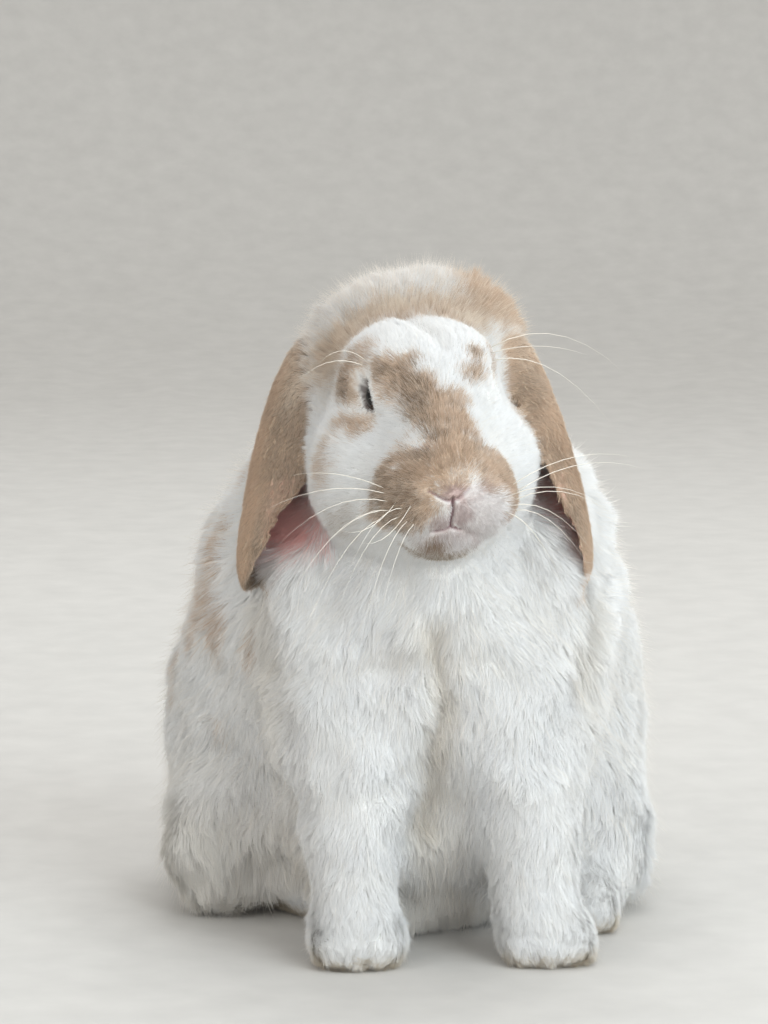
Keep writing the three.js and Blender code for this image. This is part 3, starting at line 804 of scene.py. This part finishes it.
# The greyish mauve round the nose and mouth is partly the skin showing through the short fur, and partly
# painted shade on the white fur beside the nose and mouth.
mauvePatches = [
    ((-2.4, 46, -34.5), (5.2, 7, 4.6), 0.8), ((1.8, 43, -41), (3.8, 8, 7), 0.62),
    ((-5.4, 41, -44.5), (5.4, 7, 5), 0.6), ((8, 46, -33), (6, 8, 6), 0.3), ((9, 42, -42), (15, 12, 12), 0.3),
    ((-4, 38, -52), (14, 10, 6), 0.3),
]
# The thin bare skin inside the ears, which shows low down beside the cheeks, in the model's axes. Its pink is
# made bright, as painted light, where it lies in the shaded hollows on the neck beside the ears.
pinkPatches = [
    ((-54, -84, 177), (8.5, 15, 16), 0.8), ((-50, -70, 174), (14, 20, 13), 1.0),
    ((50, -72, 182), (8, 16, 9), 0.9),
]
# The right flank, the back and the rump, in the model's axes, with how ragged each patch's edge is, and the
# size and seed of its raggedness.
bodyPatches = [
    ((-88, -20, 134), (14, 24, 24), 0.5, 0.8, 19, 31), ((10, 52, 196), (46, 48, 30), 0.8, 0.35, 34, 33),
    ((-22, 118, 118), (34, 26, 38), 0.7, 0.35, 30, 34),
]


patchEdge, bodyEdge = (0.66, 1.24), (0.6, 1.15)  # the share of its reach where a patch fades


def patchSum(head, patches, wobble):
    clear = np.ones(len(head))
    for place, radii, strength in patches:
        gap = nearPoint(head, place, radii) + wobble
        clear *= 1 - strength * fall(*patchEdge, gap)
    return 1 - clear


def earInside(points, normals, shares):
    # the bare inner side of each ear faces the cheek
    toHead = unit(columns(-np.sign(points[:, 0]), -0.1, 0))
    low = fall(196, 222, points[:, 2]) * rise(150, 162, points[:, 2])
    return part(shares, "ear") * rise(0.4, 0.8, (normals * toHead).sum(1)) * low


def crownMarks(head, wobble):
    # the crown's band, how tan it is at each point, and where it turns white again at its back edge
    temple = 21 * rise(18, 35, head[:, 0]) * fall(20, 32, head[:, 2])  # white up to the left ear
    crown = crownShare(head + columns(0, 9 * wobble + temple, 0))
    nape = rise(66, 86, -head[:, 1] + 14 * wobble)
    behind = rise(38, 48, -head[:, 1] + 8 * wobble)
    band = crown * (1 - 0.85 * nape) * rise(-6, 10, head[:, 2])
    band *= 1 - 0.88 * behind * fall(24, 36, np.abs(head[:, 0] + 7))
    return crown, band, behind


def bodyTan(points, body):
    tan = np.zeros(len(points))
    for place, radii, strength, ragged, size, seed in bodyPatches:
        gap = nearPoint(points, place, radii) + ragged * waves(points * (1, 1, 0.45), size, seed)
        tan = np.maximum(tan, body * strength * fall(*bodyEdge, gap))
    return tan


def earBrownAndShade(points, normals, ear):
    # brown on the ears, partly their own colour and partly painted shade: more on the right ear, which lies
    # in the shade, and towards the head
    side = np.sign(points[:, 0])
    outer = rise(0.35, 0.9, side * normals[:, 0])
    shade = np.where(side < 0, 0.58, 0.3) * (1 - outer) + 0.12 * waves(points, 30, 41)
    return ear * clamp(shade)


def creamToesAndShade(points, shares, body, wobble):
    # the cream toes, and a warm painted shade in cream low down on the body, on all but its lit left side,
    # and in its folds
    high = points[:, 2]
    toes = part(shares, "forepaw", "hindfoot") * fall(3, 11, high + 3 * wobble)
    low = clamp(part(shares, "trunk", "thigh")) * fall(15, 55, points[:, 0])
    low *= fall(25, 85, high + 12 * wobble)
    return np.maximum(0.8 * toes, np.clip(0.22 * low + 0.06 * foldDepths(points) * body, 0, 0.4))


def marksAt(points, normals, shares):
    # the same marks serve the skin and the coat
    head = inHead(points)
    face, neck, ear = (part(shares, name) for name in ("head", "neck", "ear"))
    body = clamp(part(shares, "neck", "trunk", "thigh"))
    wobble = 0.16 * waves(points, 9, 21) + 0.12 * waves(points, 4, 22)
    crown, band, behind = crownMarks(head, wobble)
    tan = np.maximum(face * patchSum(head, tanPatches, wobble), clamp(face + neck) * band)
    tan = np.maximum(np.maximum(tan, rise(0.25, 0.75, ear)), bodyTan(points, body))
    brown = np.maximum(face * patchSum(head, brownPatches, wobble * 1.3), earBrownAndShade(points, normals, ear))
    bare = clamp(0.3 * ear + neck + 0.5 * face)
    pink = np.maximum(bare * patchSum(points, pinkPatches, wobble), earInside(points, normals, shares))
    frost = crown * (1 - 0.85 * behind) * (0.55 + 0.25 * waves(points, 20, 51))
    frost += ear * (0.15 + 0.4 * rise(222, 240, points[:, 2])) + tan * 0.12
    return {
        "tan": tan, "brown": brown, "pink": pink, "mauve": face * patchSum(head, mauvePatches, wobble),
        "stain": face * patchSum(head, stainPatches, wobble),
        "cream": creamToesAndShade(points, shares, body, wobble), "frost": clamp(frost),
    }


lieAlong = {"foreleg": (0, -0.05, -1), "forepaw": (0, -1, -0.45), "hindfoot": (0, -0.85, -0.55)}


def bodyLie(points, shares):
    # down the chest and back along the flanks, with the haunch turned forward near the foot
    x, y, z = points.T
    front = fall(-70, -25, y)[:, None]
    high = rise(110, 200, z)
    side = np.sign(x - 3) * rise(2, 40, np.abs(x - 3))
    chest = columns(0.28 * side, 0.1, -1)
    flank = columns(0.05 * side, 0.62 + 0.3 * high, -0.75 + 0.45 * high)
    nearFoot = (fall(35, 75, z) * fall(-20, 30, y))[:, None]
    haunch = unit((1 - nearFoot) * np.array((0, 0.45, -0.9)) + nearFoot * np.array((0, -0.75, -0.66)))
    trunk = part(shares, "neck", "trunk")[:, None] * unit(front * chest + (1 - front) * flank)
    thigh = part(shares, "thigh")[:, None] * unit(0.35 * front * chest + (1 - 0.35 * front) * haunch)
    return trunk + thigh


def layCoat(points, normals, shares, links):
    # which way the coat lies at each point, along the skin
    head = inHead(points)
    fromNose = unit(head - np.array((-1.5, 54, -37)))
    down = -0.25 * rise(0, -30, head[:, 2]) - 1.6 * rise(34, 72, -head[:, 1])
    lie = part(shares, "head")[:, None] * fromHead(unit(fromNose + columns(0, -0.35, down)))
    lie += bodyLie(points, shares)
    fromTail = unit(points - np.array((0, 108, 40)))
    lie += part(shares, "tail")[:, None] * unit((0, 0.45, -1.0) + 0.25 * fromTail)
    outward = np.sign(points[:, 0]) * rise(200, 245, points[:, 2])
    lie += part(shares, "ear")[:, None] * unit(columns(outward, 0.12, -1))
    for name, way in lieAlong.items():
        lie += part(shares, name)[:, None] * unit(np.array(way, float))
    for _ in range(3):
        lie = smoothed(alongSkin(lie, normals), links, 6)
    return alongSkin(lie, normals)


def alongSkin(vectors, normals):
    return unit(vectors - (vectors * normals).sum(1)[:, None] * normals)


coat = {
    # for each region: tufts on a square mm, length and width in mm, lift in degrees, distance between leading
    # tufts in mm, how far the others' tips are pulled to theirs, how much they stray in radians, and the
    # share of longer pale hairs
    "density": (13, 7.2, 5.7, 5.2, 9.5, 7.6, 9.5, 6.0, 8.2),
    "length": (4.0, 8.5, 9.2, 13, 3.4, 6.8, 6.0, 9.2, 5.2),
    "width": (0.24, 0.33, 0.36, 0.4, 0.27, 0.31, 0.29, 0.35, 0.30),
    "lift": (20, 17, 21, 30, 15, 20, 21, 20, 17),
    "clump": (1.5, 3.4, 3.8, 5, 1.8, 2.8, 2.2, 3.6, 2.2),
    "pull": (0.18, 0.17, 0.26, 0.45, 0.2, 0.24, 0.28, 0.26, 0.26),
    "stray": (0.15, 0.16, 0.17, 0.3, 0.14, 0.17, 0.2, 0.17, 0.2),
    "guard": (0.01, 0.03, 0.035, 0.04, 0.01, 0.02, 0.01, 0.03, 0.01),
}
# what the crown's thick band, the muzzle, the cheeks and the filled hollows add to those
coatExtras = {
    "crown": {"width": 0.03, "clump": 2.0, "pull": 0.2, "stray": 0.3, "density": -0.8, "guard": 0.1},
    "muzzle": {"length": -1.7, "width": -0.07, "lift": 8},
    "cheek": {"length": 2.0},
    "hollow": {"length": 4.5, "lift": 22},
}


def coatFields(points, shares, details):
    fields = {key: byRegion(shares, values) for key, values in coat.items()}
    head, face, neck = inHead(points), part(shares, "head"), part(shares, "neck")
    crown = crownShare(head) * clamp(face + 0.6 * neck)
    nape = napeShare(head)
    fields["length"] += crown * (1.9 + 2.6 * nape)
    fields["lift"] += crown * 42 * (1 - nape)
    areas = {
        "crown": crown,
        "hollow": sum(hollowShare(points, side) for side in hollows) * neck,
        "muzzle": face * fall(10, 26, nearPoint(head, (-1.5, 46, -38), (1, 1, 1))),
        "cheek": face * rise(24, 40, np.abs(head[:, 0])) * (1 - crown),
    }
    for name, area in areas.items():
        for key, extra in coatExtras[name].items():
            fields[key] += area * extra
    # short near the eyes and in the creases, and none inside the lids
    fromLid, brow, crease = details["fromLid"], details["brow"], details["creaseNear"]
    fields["length"] *= 1 - 0.62 * fall(6, 42, fromLid) * (1 - brow)
    fields["length"] *= 1 - 0.55 * crease
    fields["density"] *= (fromLid > 3 - 2 * brow) * (1 - 0.85 * rise(0.62, 0.95, crease))
    return fields


def faceSamples(mesh, density, rng):
    # random places on the skin, more where the density is higher
    mesh.calc_loop_triangles()
    corners = gathered(mesh.loop_triangles, "vertices", 3, np.int32)
    loops = gathered(mesh.loop_triangles, "loops", 3, np.int32)
    a, b, c = pointsOf(mesh)[corners].transpose(1, 0, 2)
    wanted = np.linalg.norm(np.cross(b - a, c - a), axis=1) / 2 * density[corners].mean(1)
    count = int(wanted.sum())
    steps = (np.arange(count) + rng.uniform(0, 1, count)) * wanted.sum() / count
    chosen = np.minimum(np.searchsorted(np.cumsum(wanted), steps), len(wanted) - 1)
    a, b = rng.uniform(0, 1, (2, count))
    flip = a + b > 1
    a, b = np.where(flip, 1 - a, a), np.where(flip, 1 - b, b)
    return corners[chosen], loops[chosen], columns(1 - a - b, a, b)


def mixed(values, corners, weights):
    # a value at each sampled place, from those at its triangle's corners
    if values.ndim > 1:
        weights = weights[:, :, None]
    return (values[corners] * weights).sum(1)


def turned(vectors, axes, angles):
    c, s = np.cos(angles)[:, None], np.sin(angles)[:, None]
    return vectors * c + np.cross(axes, vectors) * s


def clumpIds(places, size, rng):
    # each place gets the nearest of some random places, one in size of them
    keep = rng.uniform(0, 1, len(places)) < 0  # none yet
    order = rng.permutation(len(places))
    share = clamp(1.0 / np.maximum(size, 0.1))
    keep[order] = rng.uniform(0, 1, len(places)) < share[order]
    centres = np.flatnonzero(keep)
    tree = KDTree(len(centres))
    for k, place in enumerate(places[centres].tolist()):
        tree.insert(place, k)
    tree.balance()
    return centres[[tree.find(p)[1] for p in places.tolist()]]


tuftShape = {
    # mm that each root lies in the skin, mm over the floor, and half of a tuft's patch in the OFBake map
    "rootSunk": 0.3, "overFloor": 0.4, "halfPatch": 0.0015,
    # the sways that neighbouring tufts share: each one's size in radians, lump size in mm and seed
    "sways": ((0.16, 46, 61), (0.12, 15, 62)),
    "guardLift": 14, "guardLonger": 0.45, "guardThinner": 0.35,
}


def bladeRows(roots, rng):
    # places, normals and tones of every tuft, which has two points at its root and one at its tip
    p, n, guard = roots["place"], roots["normal"], roots["isGuard"]
    count = len(p)
    leader = clumpIds(p, roots["clump"] ** 2 * roots["density"], rng)
    ownSway, ownLift = rng.normal(0, 1, count), rng.normal(0, 1, count)
    sway = sum(size * waves(p, lump, seed) for size, lump, seed in tuftShape["sways"])
    yaw = sway + 0.16 * ownSway[leader] + roots["stray"] * rng.normal(0, 1, count)
    steep = 1 + 0.10 * ownLift[leader] + 0.2 * rng.normal(0, 1, count) + 0.15 * waves(p, 28, 63)
    lift = np.clip(np.radians(roots["lift"] * steep + tuftShape["guardLift"] * guard), 0.07, 1.35)
    long = roots["length"] * np.clip(1 + 0.15 * rng.normal(0, 1, count), 0.55, 1.5)
    long = long * (1 + tuftShape["guardLonger"] * guard)
    way = unit(turned(roots["lie"], n, yaw))
    root = p - n * tuftShape["rootSunk"]
    tip = root + (way * np.cos(lift)[:, None] + n * np.sin(lift)[:, None]) * long[:, None]
    pull = roots["pull"] * np.clip(rng.normal(1, 0.25, count), 0.2, 1.5) * (1 - guard)
    tip = tip + (tip[leader] - tip) * np.clip(pull, 0, 0.95)[:, None]
    heading = unit(tip - root)
    flat = unit(turned(unit(np.cross(heading, n)), heading, rng.normal(0, 0.22, count)))
    wide = roots["width"] * np.clip(rng.normal(1, 0.2, count), 0.5, 1.6)
    wide = wide * (1 - tuftShape["guardThinner"] * guard)
    half = flat * (wide * 0.5)[:, None]
    places = np.stack([root - half, root + half, tip], 1)
    places[:, :, 2] = np.maximum(places[:, :, 2], tuftShape["overFloor"])
    facing = unit(n + np.cross(flat, heading) * 0.15 + rng.normal(0, 0.05, (count, 3)))
    tone = clamp(0.5 + 0.2 * rng.normal(0, 1, count) + 0.14 * ownSway[leader])
    return places, np.repeat(facing, 3, 0), tone


def makeCoatPiece(name, roots, marks, uv, rng, material):
    places, normals, tone = bladeRows(roots, rng)
    count = len(places)
    corners = np.arange(count * 3, dtype=np.int32)
    mesh = bpy.data.meshes.new(name)
    mesh.vertices.add(count * 3)
    mesh.loops.add(count * 3)
    mesh.polygons.add(count)
    mesh.vertices.foreach_set("co", (places.reshape(-1, 3) * mm).astype(np.float32).ravel())
    mesh.loops.foreach_set("vertex_index", corners)
    mesh.polygons.foreach_set("loop_start", corners[::3].copy())
    mesh.update(calc_edges=True)
    mesh.validate()
    own = {key: np.repeat(values, 3) for key, values in marks.items()}
    paint(mesh, "marks", own["tan"], own["brown"], own["pink"])
    paint(mesh, "stainsAndShade", own["cream"], own["stain"], own["frost"])
    paint(mesh, "strand", np.tile([0.0, 0.0, 1.0], count), np.repeat(tone, 3), own["mauve"])
    patch = np.array([[-1, -1], [1, -1], [0, 1]]) * tuftShape["halfPatch"]
    where = (uv[:, None, :] + patch[None]).reshape(-1, 2)
    mesh.uv_layers.new(name="OFBake").data.foreach_set("uv", where.astype(np.float32).ravel())
    mesh.polygons.foreach_set("use_smooth", np.ones(count, bool))
    mesh.normals_split_custom_set_from_vertices(normals.astype(np.float32))
    mesh.materials.append(material)
    piece = bpy.data.objects.new(name, mesh)
    bpy.context.scene.collection.objects.link(piece)
    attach(piece, "root")
    print(name, count, "tufts")


# Where the coat's pieces meet, in mm: across the body and the head, behind the chest, before the rump and
# behind the face.
coatEdges = {"middle": 2, "headMiddle": -1.5, "back": -45, "rump": 62, "face": -20}


def coatPieceOf(points, shares):
    # which piece of the coat each root belongs to
    main = np.array(regions)[shares.argmax(1)]
    head = inHead(points)
    names = np.where(main == "head", "crownCoat", "chestCoat").astype("<U20")
    body = np.isin(main, ("neck", "trunk", "tail"))
    back = body & (points[:, 1] >= coatEdges["back"])
    face = (main == "head") & (head[:, 1] > coatEdges["face"])
    for side, isLeft in (("Left", True), ("Right", False)):
        own = (points[:, 0] > coatEdges["middle"]) == isLeft
        names[face & ((head[:, 0] > coatEdges["headMiddle"]) == isLeft)] = "faceCoat" + side
        names[back & own] = "backCoat" + side
        names[(main == "thigh") & own] = "haunchCoat" + side
        names[(main == "ear") & own] = "earCoat" + side
        names[np.isin(main, ("foreleg", "forepaw", "hindfoot")) & own] = "legCoat" + side
    names[body & (points[:, 1] > coatEdges["rump"])] = "rumpCoat"
    return names


def unwrapSkin(skin):
    makeActive(skin)
    startEdit()
    bpy.ops.uv.smart_project(angle_limit=math.radians(66), island_margin=0.002)
    endEdit()
    skin.data.uv_layers.active.name = "OFBake"


# How far the marks are strewn on the face and the body in mm, how much they mix at their edges, the share of
# pale hairs among the dark, and the lumps of the face's mottled tan in mm, with how brown and pale they get.
mixing = {"strewn": (1.1, 1.6), "edge": 0.6, "pale": 0.16, "lumps": 5, "browner": 0.32, "paler": 0.35}


def tuftMarks(roots, shares, sharp, rng):
    # the skin's marks at each tuft's root, mixed up a little from tuft to tuft
    count, face = len(shares), part(shares, "head")
    jitter = rng.normal(0, 1, (count, 3)) * np.where(face > 0.5, *mixing["strewn"])[:, None]
    marks = marksAt(roots["place"] + jitter, sharp, shares)
    # the coat's pink is weaker on the ears, which catch the light, than in the shaded hollows: painted light
    marks["pink"] = (0.65 - 0.5 * part(shares, "ear")) * marks["pink"]
    # at the edges of the marks whole tufts are of one colour or the other
    for key in ("tan", "brown", "stain"):
        between = 4 * marks[key] * (1 - marks[key])
        marks[key] = clamp(marks[key] + between * rng.uniform(-mixing["edge"], mixing["edge"], count))
    roots["isGuard"] = (rng.uniform(0, 1, count) < roots["guard"]).astype(float)
    pale = (rng.uniform(0, 1, count) < mixing["pale"]) * face * marks["brown"]
    frost = clamp(marks["frost"] + 0.7 * roots["isGuard"] + pale)
    lumps = 0.5 * waves(roots["place"], mixing["lumps"], 71)
    mottle = np.clip(lumps + 0.8 * rng.normal(0, 1, count), -1, 1.6)
    mottled = face * marks["tan"] * (1 - crownShare(inHead(roots["place"])))
    marks["brown"] = clamp(marks["brown"] + mixing["browner"] * mottled * mottle)
    marks["frost"] = clamp(frost - mixing["paler"] * mottled * np.minimum(mottle, 0))
    return marks


def growCoat(skin, shares, links, details):
    mesh = skin.data
    rng = np.random.default_rng(11)
    points, sharp = pointsOf(mesh), normalsOf(mesh)
    lie = layCoat(points, unit(smoothed(sharp, links, 8)), shares, links)
    fields = coatFields(points, shares, details)
    inside = earInside(points, sharp, shares)
    fields["density"] *= 1 - 0.9 * inside
    fields["length"] *= 1 - 0.3 * inside
    corners, loops, weights = faceSamples(mesh, fields["density"], rng)
    print("tufts", len(corners))
    uv = mixed(gathered(mesh.uv_layers["OFBake"].data, "uv", 2), loops, weights)
    roots = {key: mixed(values, corners, weights) for key, values in fields.items()}
    roots["place"] = mixed(points, corners, weights)
    roots["normal"] = unit(mixed(unit(smoothed(sharp, links, 3)), corners, weights))
    roots["lie"] = unit(mixed(lie, corners, weights))
    rootShares = mixed(shares, corners, weights)
    marks = tuftMarks(roots, rootShares, unit(mixed(sharp, corners, weights)), rng)
    pieceNames = coatPieceOf(roots["place"], rootShares)
    material = coatMaterial()
    for name in sorted(set(pieceNames.tolist())):
        own = np.flatnonzero(pieceNames == name)
        ownRoots = {key: values[own] for key, values in roots.items()}
        ownMarks = {key: values[own] for key, values in marks.items()}
        makeCoatPiece(name, ownRoots, ownMarks, uv[own], rng, material)


def finishSkin(skin, shares, details):
    mesh = skin.data
    marks = marksAt(pointsOf(mesh), normalsOf(mesh), shares)
    paint(mesh, "marks", marks["tan"], marks["brown"], marks["pink"])
    paint(mesh, "stainsAndShade", marks["cream"], marks["stain"], 0)
    # the lids' rims, painted shade in the creases, and the mauve
    paint(mesh, "rims", details["rim"], rise(0.35, 1.5, details["creases"]), marks["mauve"])
    mesh.polygons.foreach_set("use_smooth", np.ones(len(mesh.polygons), bool))
    mesh.materials.clear()
    mesh.materials.append(skinMaterial())
    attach(skin, "root")
    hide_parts(*[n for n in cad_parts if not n.startswith("eye")])


eyeBall = {"shrink": 0.985, "cornea": 0.35, "corneaAngle": 50}


def makeEye(side, material):
    deselectAll()
    radius = eyeRadius * eyeBall["shrink"]
    bpy.ops.mesh.primitive_uv_sphere_add(segments=48, ring_count=32, radius=radius * mm)
    eye = bpy.context.object
    eye.name = eye.data.name = "eyeBall" + side.capitalize()
    axis, wide, _ = eyeDirections(side)
    turns = np.stack([wide, np.cross(axis, wide), axis])
    local = pointsOf(eye.data)
    angle = np.degrees(np.arccos(np.clip(local[:, 2] / radius, -1, 1)))
    bulge = 1 + eyeBall["cornea"] / radius * fall(0, 1, angle / eyeBall["corneaAngle"])
    local = local * bulge[:, None]
    behind = 40 * (local[:, 2] < 0)  # far beyond the iris
    fromPupil = np.linalg.norm(local[:, :2], axis=1) + behind
    movePoints(eye.data, local @ turns + eyeCentres[side])
    reach = eye.data.attributes.new("fromPupil", "FLOAT", "POINT")
    reach.data.foreach_set("value", fromPupil.astype(np.float32))
    bpy.ops.object.shade_smooth()
    eye.data.materials.append(material)
    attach(eye, "root")
    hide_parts("eye_" + side)


# Each whisker: its root and its tip in the head's directions, and how far its middle is arched up, in mm.
whiskers = {
    "thickness": 0.17, "steps": 7,
    "hairs": [
        ((-23, 34, -37), (-66, 30, -52), 7), ((-24, 33, -34), (-70, 22, -40), 5),
        ((-22, 35, -40), (-60, 36, -66), 8), ((-20, 37, -42), (-47, 42, -78), 8),
        ((-18, 38, -44), (-37, 44, -84), 7), ((-24, 32, -40), (-62, 26, -74), 9),
        ((-16, 40, -45), (-30, 46, -76), 5), ((-21, 36, -36), (-48, 46, -44), -6),
        ((-17, 40, -38), (-40, 54, -49), -5), ((-25, 31, -43), (-56, 24, -88), 9),
        ((-19, 38, -39), (-44, 50, -62), 7), ((-25, 30, -32), (-58, 12, -28), 3),
        ((24, 35, -32), (72, 30, -24), 5), ((26, 33, -35), (80, 20, -30), 6),
        ((25, 34, -38), (70, 24, -50), 7), ((22, 37, -40), (58, 36, -64), 8),
        ((20, 38, -42), (44, 40, -76), 7), ((23, 36, -36), (62, 38, -44), 6),
        ((24, 34, -42), (60, 22, -72), 8),
        # over the eyes
        ((25, -2, 17), (76, 8, 6), 10), ((25, -1, 15), (60, 10, 14), 3), ((26, -3, 12), (72, 2, -14), 9),
        ((-25, 0, 14), (-46, 16, 15), 4), ((-26, -1, 12), (-52, 6, 8), 4),
    ],
}


def whiskerPath(root, tip, arch):
    root, tip = np.array(root), np.array(tip)
    shares = [k / whiskers["steps"] for k in range(whiskers["steps"] + 1)]
    path = [root + (tip - root) * t + np.array((0, 0, 4 * arch * t * (1 - t))) for t in shares]
    return [Vector((headOrigin + fromHead(place)) * mm) for place in path]


def makeWhiskers():
    deselectAll()
    bpy.ops.mesh.primitive_circle_add(vertices=4, radius=0.001, fill_type="NGON")
    piece = bpy.context.object
    piece.name = piece.data.name = "whiskers"
    startEdit()
    bpy.ops.mesh.delete(type="VERT")
    steps = whiskers["steps"]
    for root, tip, arch in whiskers["hairs"]:
        path = whiskerPath(root, tip, arch)
        bpy.ops.mesh.select_all(action="DESELECT")
        bpy.ops.mesh.primitive_circle_add(
            vertices=4, radius=whiskers["thickness"] * mm, fill_type="NGON", location=path[0],
            rotation=(path[1] - path[0]).to_track_quat("Z", "Y").to_euler())
        for k in range(steps):
            bpy.ops.mesh.extrude_region_move(TRANSFORM_OT_translate={"value": path[k + 1] - path[k]})
            thinner = (steps - k - 0.75) / (steps - k)
            bpy.ops.transform.resize(value=(thinner, thinner, thinner))
    bpy.ops.mesh.select_all(action="SELECT")
    bpy.ops.mesh.normals_make_consistent(inside=False)
    endEdit()
    bpy.ops.object.shade_smooth()
    piece.data.materials.append(plainMaterial("whiskerHair", colours["whisker"], 0.35, 60.0, 0.00001))
    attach(piece, "root")


makeCamera()
makeWorld()
makeFloor()
for name, values in lights.items():
    makeLight(name, *values)
bpy.context.scene.view_settings.view_transform = "Standard"
print("studio made")

skin, shares, links, details = makeSkin(nodeFinder())
print("skin sculpted", len(skin.data.polygons))
unwrapSkin(skin)
print("skin unwrapped")
finishSkin(skin, shares, details)
growCoat(skin, shares, links, details)
eyeGloss = eyeMaterial()
for side in eyeCentres:
    makeEye(side, eyeGloss)
print("eyes made")
makeWhiskers()
print("whiskers made")
